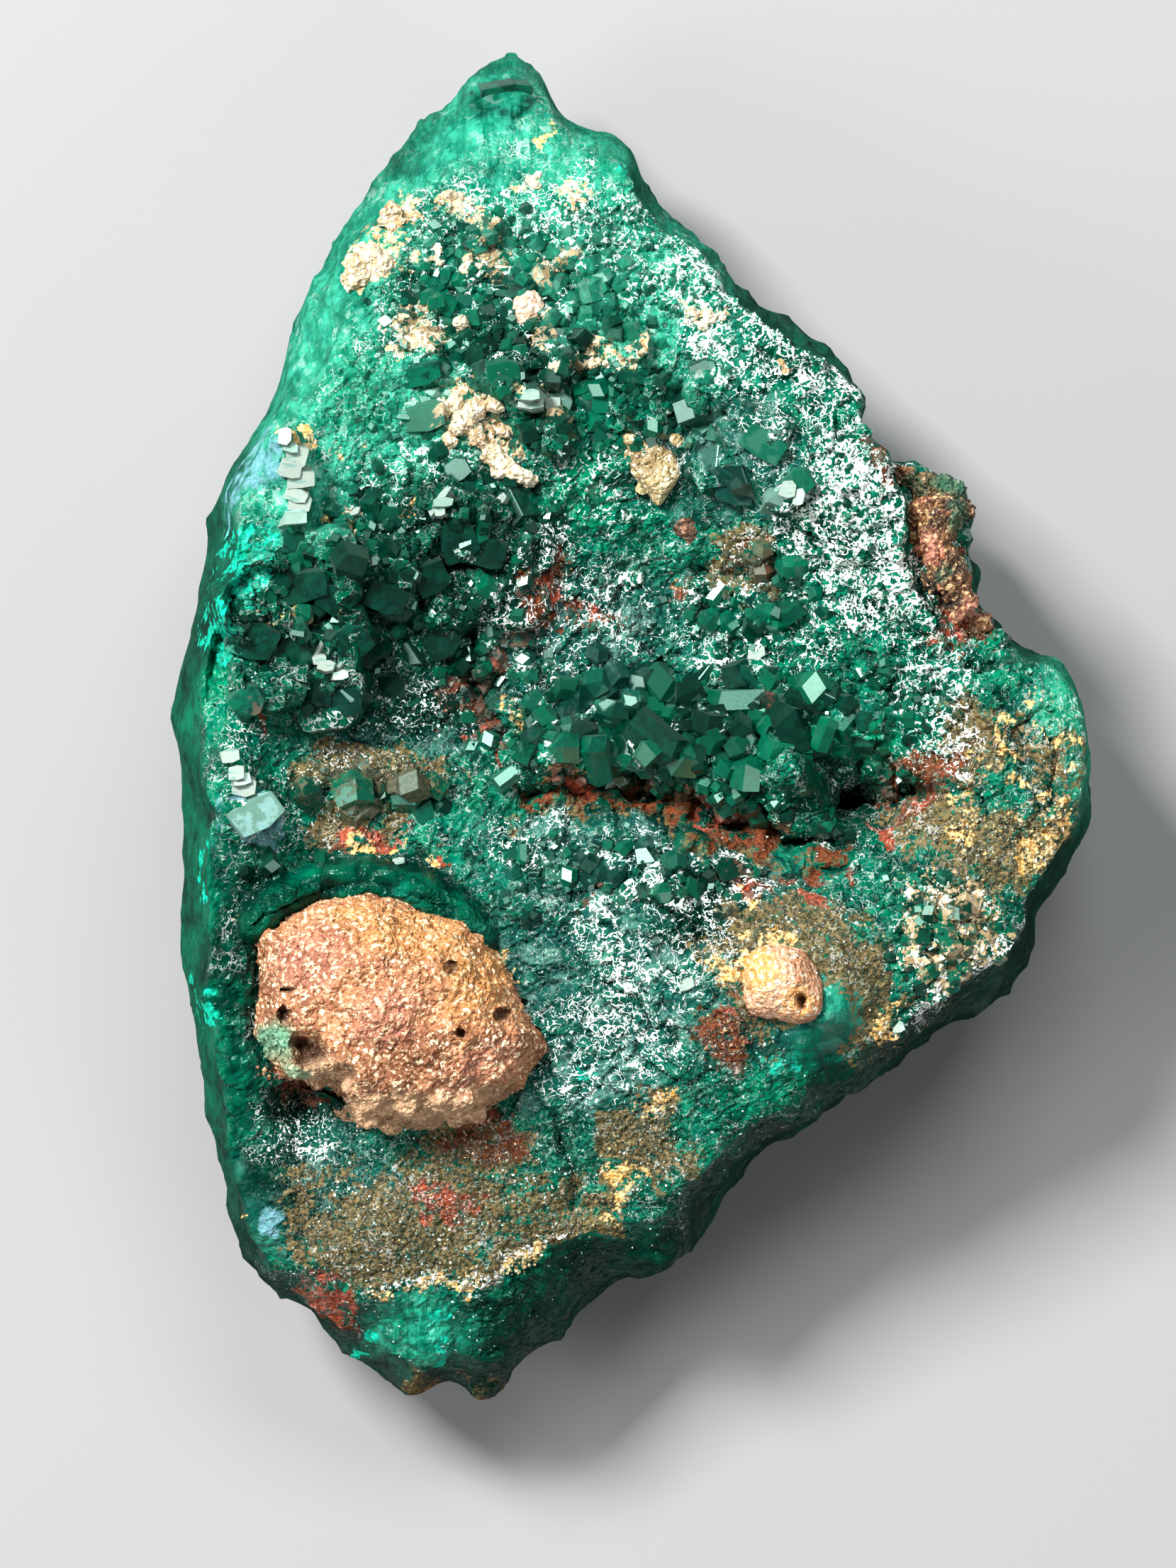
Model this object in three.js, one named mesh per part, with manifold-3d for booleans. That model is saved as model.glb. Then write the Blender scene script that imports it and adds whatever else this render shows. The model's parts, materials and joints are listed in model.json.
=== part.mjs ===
// A dioptase specimen: a glassy green slab of massive dioptase, leaf-shaped from above, whose top is
// a druse of stout crystals. Lumps and nodules of sandy and rusty matrix sit in its top face.
// Millimetres, +Z up. It lies on its worn flat underside, with the origin at the middle of its box.
import * as THREE from "three";
import { mergeVertices } from "three/addons/utils/BufferGeometryUtils.js";
import Module from "manifold-3d";

const wasm = await Module();
wasm.setup();

// Driving dimensions.
const slabLength = 52;
const slabWidth = 35;
const crownHeight = 11.4; // the plain level of the top face
const beltHeight = 5.6; // where the flanks stand out furthest
const footHeight = 1.9; // where the flanks turn in to the resting face
const footInset = 0.93;
const restInset = 0.84; // the resting face, as a share of the outline
const apexFall = 4.4; // how far the top face drops towards the pointed end
const tailFall = 3.0; // and towards the two tips at the other end
const seatGap = 0.25; // between a piece of matrix and its socket in the slab
const slabCells = 31;
const roughness = 0.22; // height of the unevenness of broken dioptase
const crystalTilt = 0.62; // radians, the most that a crystal leans from upright
const crystalSlope = 0.78; // fall of a crystal's end faces per unit outwards
const rootDepth = 0.75; // how much of a crystal's length reaches into the slab
const matrixDepth = 2.4; // how deep the lumps of matrix reach below the top face

const slabMiddle = [-1, -2];

// The slab's outline from above, as shares of its half width and half length, clockwise from the apex.
const slabOutline = [
  [-0.27, 1], [-0.2, 0.97], [-0.15, 0.9], [-0.03, 0.87], [0.03, 0.79], [0.12, 0.72],
  [0.24, 0.63], [0.33, 0.58], [0.41, 0.56], [0.48, 0.5], [0.5, 0.45], [0.58, 0.38],
  [0.68, 0.37], [0.71, 0.32], [0.69, 0.27], [0.74, 0.2], [0.84, 0.11], [0.92, 0.1],
  [0.98, 0.04], [1, -0.03], [0.99, -0.12], [0.93, -0.22], [0.87, -0.29], [0.74, -0.41],
  [0.63, -0.47], [0.5, -0.53], [0.39, -0.57], [0.25, -0.66], [0.21, -0.69], [0.05, -0.78],
  [0.01, -0.78], [-0.09, -0.84], [-0.19, -0.885], [-0.27, -0.94], [-0.32, -0.977], [-0.41, -0.957],
  [-0.5, -1], [-0.64, -0.9], [-0.81, -0.83], [-0.87, -0.78], [-0.93, -0.6], [-0.97, -0.42],
  [-0.99, -0.3], [-0.98, -0.13], [-1, 0.03], [-1, 0.1], [-0.96, 0.21], [-0.925, 0.27],
  [-0.89, 0.385], [-0.8, 0.48], [-0.74, 0.58], [-0.7, 0.67], [-0.63, 0.765], [-0.53, 0.835],
  [-0.48, 0.89], [-0.39, 0.93], [-0.33, 0.985],
].map(([across, along]) => [(across * slabWidth) / 2, (along * slabLength) / 2]);

// How far the bare flank slopes out from under the druse, by bearing in degrees from +X.
const flankWidths = [
  [0, 0.7], [30, 0.4], [60, 0.4], [84, 0.8], [96, 2.2], [108, 2.4], [124, 2.5], [140, 1.4],
  [180, 1.3], [212, 1.2], [232, 1.2], [246, 2.6], [253, 4.2], [262, 3.8], [276, 2.3], [300, 1.9],
  [322, 1.5], [345, 1.1], [360, 0.7],
];

// Broad relief of the top face: middle, half axes, turn in degrees, and rise (a fall where negative).
const relief = [
  { at: [0.5, 3.4], size: [7.5, 6.2], turn: 10, rise: -2.7 }, // the basin
  { at: [8.6, 9.4], size: [3.6, 8.4], turn: 40, rise: 2.7 }, // the high flank above it
  { at: [-14.8, 4.5], size: [2.6, 8.5], turn: -6, rise: 2.0 }, // the left rim
  { at: [-14.6, -9], size: [2.2, 5.5], turn: 4, rise: 0.9 },
  { at: [8.2, -2.7], size: [1.7, 1.4], turn: 0, rise: -3.6 }, // the deep cavity
  { at: [15.6, -0.9], size: [2.6, 3.4], turn: 12, rise: 1.5 }, // the shoulder
  { at: [5.8, -9.4], size: [3.6, 3.0], turn: 20, rise: 2.4 }, // the mound that carries the knob
  { at: [11.6, -7.8], size: [3.0, 2.6], turn: 30, rise: 1.5 },
  { at: [0.6, -8.5], size: [4.2, 4.6], turn: 0, rise: 0.9 },
  { at: [-12.6, -14.4], size: [1.7, 1.3], turn: 30, rise: -1.3 }, // the hollow under the big lump
  { at: [-9.2, -19.2], size: [3.6, 2.4], turn: 12, rise: 0.7 },
  { at: [-0.4, 21.7], size: [1.3, 1.2], turn: 0, rise: 1.3 }, // the knob near the apex
];

// The ledge where the basin floor breaks off above the lower terrace.
const ledge = { from: [-4.6, -2.0], to: [6.6, -3.6], sag: 0.9, drop: 1.9, fade: 3.2 };

// Groups of large crystals: middle, half axes of the patch, how many, their smallest and largest
// radius, their length as a share of the radius, and the bearing in degrees that they lean to.
const crystalGroups = [
  { at: [-12.9, 3.8], size: [2.6, 2.4], count: 8, radius: [1.05, 1.5], stretch: 1.5, lean: 20 },
  { at: [-13.0, 9.6], size: [0.5, 1.8], count: 4, radius: [0.5, 0.7], stretch: 1.7, lean: 10 },
  { at: [-7.4, 6.8], size: [3.4, 2.9], count: 9, radius: [0.85, 1.25], stretch: 1.6, lean: 0 },
  { at: [-2.0, 12.2], size: [6.2, 2.2], count: 8, radius: [0.7, 1.1], stretch: 1.6, lean: -70 },
  { at: [4.2, 10.2], size: [1.6, 1.7], count: 4, radius: [0.9, 1.25], stretch: 1.5, lean: -150 },
  { at: [5.0, -0.4], size: [4.8, 1.6], count: 8, radius: [0.7, 1.0], stretch: 1.7, lean: 100 },
  { at: [-15.0, -2.4], size: [0.9, 1.6], count: 4, radius: [0.65, 0.95], stretch: 1.4, lean: 30 },
  { at: [-10.6, -2.2], size: [2.4, 1.0], count: 4, radius: [0.5, 0.75], stretch: 1.5, lean: 60 },
  { at: [-0.5, -5.6], size: [5.0, 1.8], count: 5, radius: [0.55, 0.8], stretch: 1.4, lean: 120 },
];

const largeLump = {
  middle: [-9.2, -10.7],
  outline: [
    [-14.3, -7.7], [-11.8, -6.5], [-10, -6.1], [-7.7, -7], [-6.6, -7.2], [-5.3, -8.4], [-4.2, -10.6],
    [-3.4, -11.9], [-4, -12.9], [-6, -14.7], [-8.3, -14.9], [-10.5, -14.8], [-11, -13.4],
    [-13.3, -13.1], [-14.4, -11.3], [-14.1, -9.7],
  ],
  height: 3.9,
  cells: 11,
};

const smallKnob = {
  middle: [5.5, -9.4],
  outline: [
    [4.2, -8.6], [5.4, -8], [6.5, -8.3], [7, -9.3], [6.8, -10.4], [5.9, -10.9], [4.9, -10.5],
    [4.1, -9.6],
  ],
  height: 1.7,
  cells: 5,
};

const rustyClump = {
  middle: [11.5, 6.9],
  outline: [
    [10.2, 9.7], [11.4, 9.7], [12.2, 9.2], [12.3, 8.2], [12, 7], [12.8, 5.3], [13.4, 4.1],
    [12.3, 3.5], [11.3, 4.6], [10.6, 6.2], [10.4, 7.4], [9.9, 8.6],
  ],
  height: 1.3,
  cells: 7,
};

const sandyWedge = {
  middle: [0.6, 10.2],
  outline: [[-0.4, 11.1], [1.7, 11.2], [1.5, 9.9], [0.8, 8.8], [-0.2, 10]],
  height: 0.5,
  cells: 4,
};

const creamWishbone = {
  middle: [-6.2, 11],
  outline: [
    [-7.5, 12.5], [-5.9, 12.5], [-5.3, 11.4], [-4.6, 10.5], [-3.9, 9.5], [-4.7, 9.1], [-5.9, 10],
    [-6.8, 11],
  ],
  height: 0.5,
  cells: 5,
};

// Nodules: node name, colour, middle and half axes.
const nodules = [
  { name: "brown_knob", colour: 0x6b4a33, at: [2.1, 7.7], size: [0.75, 0.65, 0.7] },
  { name: "pink_nodule", colour: 0xd9a58c, at: [-4.1, 15.9], size: [0.65, 0.75, 0.6] },
  { name: "cream_nodule_1", colour: 0xe9d3a8, at: [-10.2, 17.5], size: [1.15, 1.05, 0.9] },
  { name: "cream_nodule_2", colour: 0xf2e6c8, at: [-9.3, 19.4], size: [0.6, 0.65, 0.55] },
  { name: "cream_nodule_3", colour: 0xf4ead2, at: [-7.1, 19.9], size: [0.65, 0.6, 0.55] },
  { name: "cream_nodule_4", colour: 0xeeddb6, at: [-8.2, 15], size: [0.95, 0.7, 0.65] },
  { name: "cream_nodule_5", colour: 0xe2cfa4, at: [-1.1, 14], size: [0.8, 0.5, 0.5] },
  { name: "cream_nodule_6", colour: 0xf6efdc, at: [-5.6, 18.4], size: [0.6, 0.55, 0.5] },
];

// A repeatable number from 0 to 1 for a whole number and a channel.
function spread(index, channel) {
  const value = Math.sin(index * 12.9898 + channel * 78.233) * 43758.5453;
  return value - Math.floor(value);
}

function mix(from, to, share) {
  return from + (to - from) * share;
}

function smoothStep(low, high, value) {
  return THREE.MathUtils.smoothstep(value, low, high);
}

// Uneven ground made of crossed waves, from -1 to 1.
function uneven(x, y, size) {
  const u = x / size;
  const v = y / size;
  const broad = Math.sin(2.1 * u + 1.7 * Math.sin(1.3 * v)) * Math.cos(1.9 * v + Math.sin(1.1 * u));
  const fine = Math.sin(5.3 * u - 3.1 * v + 0.8) * Math.sin(4.7 * v + 2.3 * u);
  return 0.65 * broad + 0.35 * fine;
}

// The point of a closed outline at a share of the way round it. It lands on the nearest corner
// when one is within half a step, so that the corners keep their place.
function outlinePoint(outline, share, step) {
  const count = outline.length;
  const sides = outline.map(([x, y], i) => {
    const [nextX, nextY] = outline[(i + 1) % count];
    return Math.hypot(nextX - x, nextY - y);
  });
  const total = sides.reduce((sum, side) => sum + side, 0);
  let left = (((share % 1) + 1) % 1) * total;
  let index = 0;
  while (left > sides[index] && index < count - 1) {
    left -= sides[index];
    index += 1;
  }
  const half = (step * total) / 2;
  if (left < half) return outline[index];
  if (sides[index] - left < half) return outline[(index + 1) % count];
  const along = left / sides[index];
  const [x, y] = outline[index];
  const [endX, endY] = outline[(index + 1) % count];
  return [mix(x, endX, along), mix(y, endY, along)];
}

// A closed body over an outline. Its cap is a square grid drawn out to the outline, and its flank
// goes down through the rings, each a share of the outline and a height.
function outlinedBody({ outline, middle, cells, capHeight, capShare, rings, floorHeight }) {
  const around = cells * 4;
  const [middleX, middleY] = middle;
  const rim = [];
  for (let i = 0; i < around; i += 1) rim.push(outlinePoint(outline, i / around, 1 / around));
  const positions = [];
  const faces = [];
  const grid = [];

  function addPoint(x, y, z) {
    positions.push(x, y, z);
    return positions.length / 3 - 1;
  }

  // The rim point for a place on the square's edge, counted clockwise from the top left corner.
  function edgeIndex(column, row) {
    if (row === cells) return column;
    if (column === cells) return cells + (cells - row);
    if (row === 0) return 2 * cells + (cells - column);
    return 3 * cells + row;
  }

  function capPoint(column, row) {
    const u = (2 * column) / cells - 1;
    const v = (2 * row) / cells - 1;
    const reach = Math.max(Math.abs(u), Math.abs(v));
    if (reach === 0) return [middleX, middleY];
    const edgeColumn = ((u / reach + 1) / 2) * cells;
    const edgeRow = ((v / reach + 1) / 2) * cells;
    const onSide = Math.abs(u) >= Math.abs(v);
    const low = onSide
      ? [Math.round(edgeColumn), Math.floor(edgeRow)]
      : [Math.floor(edgeColumn), Math.round(edgeRow)];
    const high = onSide
      ? [low[0], Math.min(low[1] + 1, cells)]
      : [Math.min(low[0] + 1, cells), low[1]];
    const share = onSide ? edgeRow - low[1] : edgeColumn - low[0];
    const first = edgeIndex(...low) % around;
    const second = edgeIndex(...high) % around;
    const edgeX = mix(rim[first][0], rim[second][0], share);
    const edgeY = mix(rim[first][1], rim[second][1], share);
    const inset = mix(capShare(first), capShare(second), share);
    return [
      middleX + (edgeX - middleX) * reach * inset,
      middleY + (edgeY - middleY) * reach * inset,
    ];
  }

  for (let row = 0; row <= cells; row += 1) {
    grid.push([]);
    for (let column = 0; column <= cells; column += 1) {
      const [x, y] = capPoint(column, row);
      grid[row].push(addPoint(x, y, capHeight(x, y)));
    }
  }
  for (let row = 0; row < cells; row += 1) {
    for (let column = 0; column < cells; column += 1) {
      const a = grid[row][column];
      const b = grid[row][column + 1];
      const c = grid[row + 1][column + 1];
      const d = grid[row + 1][column];
      if ((row + column) % 2) faces.push(a, b, c, a, c, d);
      else faces.push(a, b, d, b, c, d);
    }
  }

  let ring = [];
  for (let i = 0; i < cells; i += 1) ring.push(grid[cells][i]);
  for (let i = 0; i < cells; i += 1) ring.push(grid[cells - i][cells]);
  for (let i = 0; i < cells; i += 1) ring.push(grid[0][cells - i]);
  for (let i = 0; i < cells; i += 1) ring.push(grid[i][0]);
  for (const level of rings) {
    const next = rim.map(([x, y], i) => {
      const { share, height } = level(i, x, y);
      return addPoint(middleX + (x - middleX) * share, middleY + (y - middleY) * share, height);
    });
    for (let i = 0; i < around; i += 1) {
      const j = (i + 1) % around;
      faces.push(ring[i], ring[j], next[j], ring[i], next[j], next[i]);
    }
    ring = next;
  }
  const foot = addPoint(middleX, middleY, floorHeight);
  for (let i = 0; i < around; i += 1) faces.push(ring[i], ring[(i + 1) % around], foot);
  return geometryOf(positions, faces);
}

function geometryOf(positions, faces) {
  const geometry = new THREE.BufferGeometry();
  geometry.setAttribute("position", new THREE.Float32BufferAttribute(positions, 3));
  geometry.setIndex(faces);
  return geometry;
}

function toSolid(geometry) {
  const bare = new THREE.BufferGeometry();
  bare.setAttribute("position", geometry.getAttribute("position"));
  if (geometry.index) bare.setIndex(geometry.index);
  const merged = mergeVertices(bare, 1e-4);
  return new wasm.Manifold(
    new wasm.Mesh({
      numProp: 3,
      vertProperties: new Float32Array(merged.attributes.position.array),
      triVerts: new Uint32Array(merged.index.array),
    }),
  );
}

function toGeometry(solid) {
  const mesh = solid.getMesh();
  return geometryOf(Array.from(mesh.vertProperties), Array.from(mesh.triVerts));
}

// A hill or hollow that fades away outside its half axes.
function hill(x, y, { at, size, turn, rise }) {
  const angle = THREE.MathUtils.degToRad(turn);
  const dx = x - at[0];
  const dy = y - at[1];
  const u = (dx * Math.cos(angle) + dy * Math.sin(angle)) / size[0];
  const v = (dy * Math.cos(angle) - dx * Math.sin(angle)) / size[1];
  return rise * Math.exp(-(u * u + v * v));
}

function ledgeRise(x, y) {
  const along = (x - ledge.from[0]) / (ledge.to[0] - ledge.from[0]);
  const lineY = mix(ledge.from[1], ledge.to[1], along) + ledge.sag * 4 * along * (1 - along);
  const above = y - lineY;
  const ends = smoothStep(-0.15, 0.1, along) * (1 - smoothStep(0.95, 1.15, along));
  const lip = smoothStep(-0.9, 0.9, above) * Math.exp(-Math.max(above, 0) / ledge.fade);
  return ledge.drop * ends * (lip - 0.35 * Math.exp(-((above + 0.9) ** 2)));
}

function crownAt(x, y) {
  let height = crownHeight;
  height -= apexFall * smoothStep(9, 27, y) ** 1.5;
  height -= tailFall * smoothStep(12, 27, -y);
  for (const form of relief) height += hill(x, y, form);
  height += ledgeRise(x, y);
  return height + roughness * uneven(x, y, 1.7);
}

function flankWidth(x, y) {
  const angle = Math.atan2(y - slabMiddle[1], x - slabMiddle[0]);
  const bearing = (THREE.MathUtils.radToDeg(angle) + 360) % 360;
  const next = Math.max(1, flankWidths.findIndex(([angle]) => angle >= bearing));
  const [lowAngle, lowWidth] = flankWidths[next - 1];
  const [highAngle, highWidth] = flankWidths[next];
  return mix(lowWidth, highWidth, (bearing - lowAngle) / (highAngle - lowAngle));
}

function slabBody() {
  const around = slabCells * 4;
  const shares = [];
  for (let i = 0; i < around; i += 1) {
    const [x, y] = outlinePoint(slabOutline, i / around, 1 / around);
    const reach = Math.hypot(x - slabMiddle[0], y - slabMiddle[1]);
    shares.push(1 - flankWidth(x, y) / reach);
  }
  const bulge = (i, amount) => 1 + amount * (spread(i, 3) - 0.7);
  return outlinedBody({
    outline: slabOutline,
    middle: slabMiddle,
    cells: slabCells,
    capHeight: crownAt,
    capShare: (i) => shares[i],
    rings: [
      (i, x, y) => ({
        share: mix(shares[i], 1, 0.62) * bulge(i, 0.012),
        height: mix(beltHeight, crownAt(x, y), 0.62) + spread(i, 5) * 0.5,
      }),
      (i) => ({ share: 1, height: beltHeight + 1.4 * (spread(Math.floor(i / 3), 7) - 0.5) }),
      (i) => ({ share: footInset * bulge(i, 0.025), height: footHeight + 0.5 * spread(i, 9) }),
      () => ({ share: restInset, height: 0 }),
    ],
    floorHeight: 0,
  });
}

// A stout six-sided crystal whose three end faces meet at a point, standing on the origin.
function crystalGeometry(radius, length) {
  const positions = [];
  const corner = (i, height) => {
    const angle = (i * Math.PI) / 3;
    positions.push(radius * Math.cos(angle), radius * Math.sin(angle), height);
  };
  for (let i = 0; i < 6; i += 1) corner(i, -rootDepth * length);
  for (let i = 0; i < 6; i += 1) corner(i, length / 2 - crystalSlope * radius * (i % 2 ? 0.5 : 1));
  positions.push(0, 0, length / 2);
  const faces = [];
  for (let i = 0; i < 6; i += 1) {
    const j = (i + 1) % 6;
    faces.push(i, j, 6 + j, i, 6 + j, 6 + i);
  }
  for (let i = 0; i < 6; i += 2) {
    const before = 6 + ((i + 5) % 6);
    faces.push(12, before, 6 + i, 12, 6 + i, 6 + i + 1);
  }
  for (let i = 1; i < 5; i += 1) faces.push(0, i + 1, i);
  return geometryOf(positions, faces);
}

// One crystal of a group, in its place on the slab.
function groupCrystal(group, index, seed) {
  const angle = 2 * Math.PI * spread(seed, 1);
  const reach = Math.sqrt((index + 0.5) / group.count);
  const x = group.at[0] + group.size[0] * reach * Math.cos(angle + index * 2.4);
  const y = group.at[1] + group.size[1] * reach * Math.sin(angle + index * 2.4);
  const radius = mix(group.radius[0], group.radius[1], spread(seed, 2));
  const geometry = crystalGeometry(radius, radius * group.stretch * 1.5);
  const bearing = THREE.MathUtils.degToRad(group.lean + 90 * (spread(seed, 4) - 0.5));
  const tilt = crystalTilt * (0.35 + 0.65 * spread(seed, 5));
  const axis = new THREE.Vector3(-Math.sin(bearing), Math.cos(bearing), 0);
  const place = new THREE.Matrix4().makeRotationAxis(axis, tilt);
  place.multiply(new THREE.Matrix4().makeRotationZ(spread(seed, 6) * Math.PI));
  place.setPosition(x, y, crownAt(x, y) + 0.15 * radius);
  return geometry.applyMatrix4(place);
}

function addCrystals(slab) {
  let solid = slab;
  let seed = 0;
  for (const group of crystalGroups) {
    for (let index = 0; index < group.count; index += 1) {
      seed += 1;
      solid = solid.add(toSolid(groupCrystal(group, index, seed)));
    }
  }
  return solid;
}

// The outer shell alone, so that a chink between crystals isn't left as a sealed hollow.
function outerShell(solid) {
  return solid.decompose().reduce((best, shell) => (shell.volume() > best.volume() ? shell : best));
}

// A lump of matrix with a domed, pitted top, and the straight-sided socket that it sits in.
function lumpGeometry({ outline, middle, height, cells }) {
  const [middleX, middleY] = middle;
  const base = crownAt(middleX, middleY);
  const reach = Math.max(...outline.map(([x, y]) => Math.hypot(x - middleX, y - middleY)));
  const dome = (x, y) => {
    const share = Math.min(1, Math.hypot(x - middleX, y - middleY) / reach);
    return base + height * (1 - 0.5 * share * share) + 0.1 * height * uneven(x, y, 1.3);
  };
  const wall = (share, part) => () => ({ share, height: base + height * part });
  return outlinedBody({
    outline,
    middle,
    cells,
    capHeight: dome,
    capShare: () => 0.68,
    rings: [
      wall(0.88, 0.62),
      wall(0.98, 0.3),
      wall(1, 0.02),
      () => ({ share: 0.97, height: base - matrixDepth * Math.min(1, height / 2) }),
    ],
    floorHeight: base - matrixDepth * Math.min(1, height / 2),
  });
}

function socketGeometry({ outline, middle, height, cells }) {
  const [middleX, middleY] = middle;
  const base = crownAt(middleX, middleY);
  const reach = Math.min(...outline.map(([x, y]) => Math.hypot(x - middleX, y - middleY)));
  const floor = base - matrixDepth * Math.min(1, height / 2) - seatGap;
  const top = base + height + 4;
  return outlinedBody({
    outline,
    middle,
    cells: Math.max(3, Math.round(cells / 2)),
    capHeight: () => top,
    capShare: () => 1 + seatGap / reach,
    rings: [() => ({ share: 1 + seatGap / reach, height: floor })],
    floorHeight: floor,
  });
}

// A rounded nodule, and the same shape grown by the gap as its socket.
function noduleGeometry({ at, size }, grow, seed) {
  const geometry = new THREE.IcosahedronGeometry(1, 1);
  const place = geometry.getAttribute("position");
  for (let i = 0; i < place.count; i += 1) {
    const point = new THREE.Vector3().fromBufferAttribute(place, i);
    const swell = 1 + 0.1 * uneven(point.x + seed, point.y + point.z, 0.5);
    place.setXYZ(
      i,
      at[0] + point.x * (size[0] * swell + grow),
      at[1] + point.y * (size[1] * swell + grow),
      crownAt(at[0], at[1]) + 0.25 * size[2] + point.z * (size[2] * swell + grow),
    );
  }
  return geometry;
}

// A small round pit, cut where a piece of matrix has weathered out.
function pitSolid(x, y, z, radius) {
  const geometry = new THREE.IcosahedronGeometry(radius, 1);
  geometry.translate(x, y, z);
  return toSolid(geometry);
}

const lumps = [
  { name: "large_matrix_lump", form: largeLump, colour: 0xc99870 },
  { name: "small_matrix_knob", form: smallKnob, colour: 0xe0b48c },
  { name: "rusty_edge_clump", form: rustyClump, colour: 0x8a5638 },
  { name: "sandy_wedge", form: sandyWedge, colour: 0xb99a6c },
  { name: "cream_wishbone", form: creamWishbone, colour: 0xe6d2ae },
];

const group = new THREE.Group();

function addNode(name, geometry, colour, gloss) {
  const material = new THREE.MeshStandardMaterial({ color: colour, roughness: gloss, metalness: 0 });
  const mesh = new THREE.Mesh(geometry, material);
  mesh.name = name;
  group.add(mesh);
}

let slab = addCrystals(toSolid(slabBody()));
for (const { form } of lumps) slab = slab.subtract(toSolid(socketGeometry(form)));
nodules.forEach((nodule, i) => {
  slab = slab.subtract(toSolid(noduleGeometry(nodule, seatGap, i)));
});
addNode("dioptase_mass", toGeometry(outerShell(slab)), 0x0f6a4c, 0.2);

for (const { name, form, colour } of lumps) {
  let solid = toSolid(lumpGeometry(form));
  const top = crownAt(...form.middle) + form.height;
  if (form === largeLump) solid = solid.subtract(pitSolid(-12.4, -12.1, top - 0.7, 0.9));
  if (form === smallKnob) solid = solid.subtract(pitSolid(6.1, -10.2, top - 0.4, 0.45));
  addNode(name, toGeometry(solid), colour, 0.85);
}
nodules.forEach((nodule, i) => {
  addNode(nodule.name, toGeometry(toSolid(noduleGeometry(nodule, 0, i))), nodule.colour, 0.8);
});

export default group;
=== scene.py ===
import bpy
import bmesh
import json
import math
import numpy as np
from mathutils import Matrix, Vector
from mathutils.bvhtree import BVHTree

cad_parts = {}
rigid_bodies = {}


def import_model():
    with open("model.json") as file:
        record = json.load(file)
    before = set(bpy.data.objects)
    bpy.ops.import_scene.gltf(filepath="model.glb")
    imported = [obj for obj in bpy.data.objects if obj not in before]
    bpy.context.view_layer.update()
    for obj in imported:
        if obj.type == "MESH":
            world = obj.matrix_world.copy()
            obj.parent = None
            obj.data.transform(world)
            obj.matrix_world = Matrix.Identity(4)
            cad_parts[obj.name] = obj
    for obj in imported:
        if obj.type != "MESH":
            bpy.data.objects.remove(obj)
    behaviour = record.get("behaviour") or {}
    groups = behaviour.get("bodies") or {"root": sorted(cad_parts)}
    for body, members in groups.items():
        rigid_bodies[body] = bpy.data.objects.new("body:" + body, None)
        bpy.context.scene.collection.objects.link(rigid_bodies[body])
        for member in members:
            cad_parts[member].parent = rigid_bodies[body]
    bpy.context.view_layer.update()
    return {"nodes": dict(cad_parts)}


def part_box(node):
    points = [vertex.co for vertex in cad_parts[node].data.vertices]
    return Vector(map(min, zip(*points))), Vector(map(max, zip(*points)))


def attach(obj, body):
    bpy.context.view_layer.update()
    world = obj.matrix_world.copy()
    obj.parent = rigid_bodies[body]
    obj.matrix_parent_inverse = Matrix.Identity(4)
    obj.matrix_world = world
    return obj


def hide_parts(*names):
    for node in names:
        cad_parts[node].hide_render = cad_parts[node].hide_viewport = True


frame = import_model()
slabLow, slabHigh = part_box("dioptase_mass")
slabLength = 52.0  # millimetres
mm = (slabHigh.y - slabLow.y) / slabLength  # one millimetre of the slab, whatever size the frame is
print("frame loaded, one millimetre is", round(mm, 6))


# Small helpers for node trees. A wire is a node's output that adds and multiplies like a number.

class Wire:
    def __init__(self, socket):
        self.socket = socket
        self.tree = socket.id_data

    def by(self, operation, other=0.0, clamp=False):
        inputs = {0: self, 1: other}
        return wireOf(self.tree, "ShaderNodeMath", 0, inputs, operation=operation, use_clamp=clamp)

    def __add__(self, other):
        return self.by("ADD", other)

    def __sub__(self, other):
        return self.by("SUBTRACT", other)

    def __mul__(self, other):
        return self.by("MULTIPLY", other)

    __radd__ = __add__
    __rmul__ = __mul__


def feed(node, inputs):
    # a wire is linked to its input, and a plain value is set on it
    for key, value in inputs.items():
        if isinstance(value, Wire):
            node.id_data.links.new(value.socket, node.inputs[key])
        else:
            node.inputs[key].default_value = value


def putNode(tree, kind, inputs=None, **settings):
    node = tree.nodes.new(kind)
    for key, value in settings.items():
        setattr(node, key, value)
    feed(node, inputs or {})
    return node


def wireOf(tree, kind, output, inputs=None, **settings):
    return Wire(putNode(tree, kind, inputs, **settings).outputs[output])


def highestOf(first, *others):
    for other in others:
        first = first.by("MAXIMUM", other)
    return first


def vectorOf(vector, operation, other):
    inputs = {0: vector, 3 if operation == "SCALE" else 1: other}
    output = "Value" if operation in ("DOT_PRODUCT", "DISTANCE") else "Vector"
    return wireOf(vector.tree, "ShaderNodeVectorMath", output, inputs, operation=operation)


def firstPart(vector):
    return wireOf(vector.tree, "ShaderNodeSeparateXYZ", 0, {0: vector})


def mixColour(share, first, second):
    inputs = {0: share, 6: first, 7: second}
    return wireOf(share.tree, "ShaderNodeMix", 2, inputs, data_type="RGBA")


def laidOver(colour, layers):
    # each layer is how much of it shows, and its tone
    for share, tone in layers:
        colour = mixColour(share, colour, tone)
    return colour


def rangeOf(value, low, high, toLow=0.0, toHigh=1.0):
    # a smooth step from one value to another
    inputs = {0: value, 1: low, 2: high, 3: toLow, 4: toHigh}
    return wireOf(value.tree, "ShaderNodeMapRange", 0, inputs, interpolation_type="SMOOTHSTEP")


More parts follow.
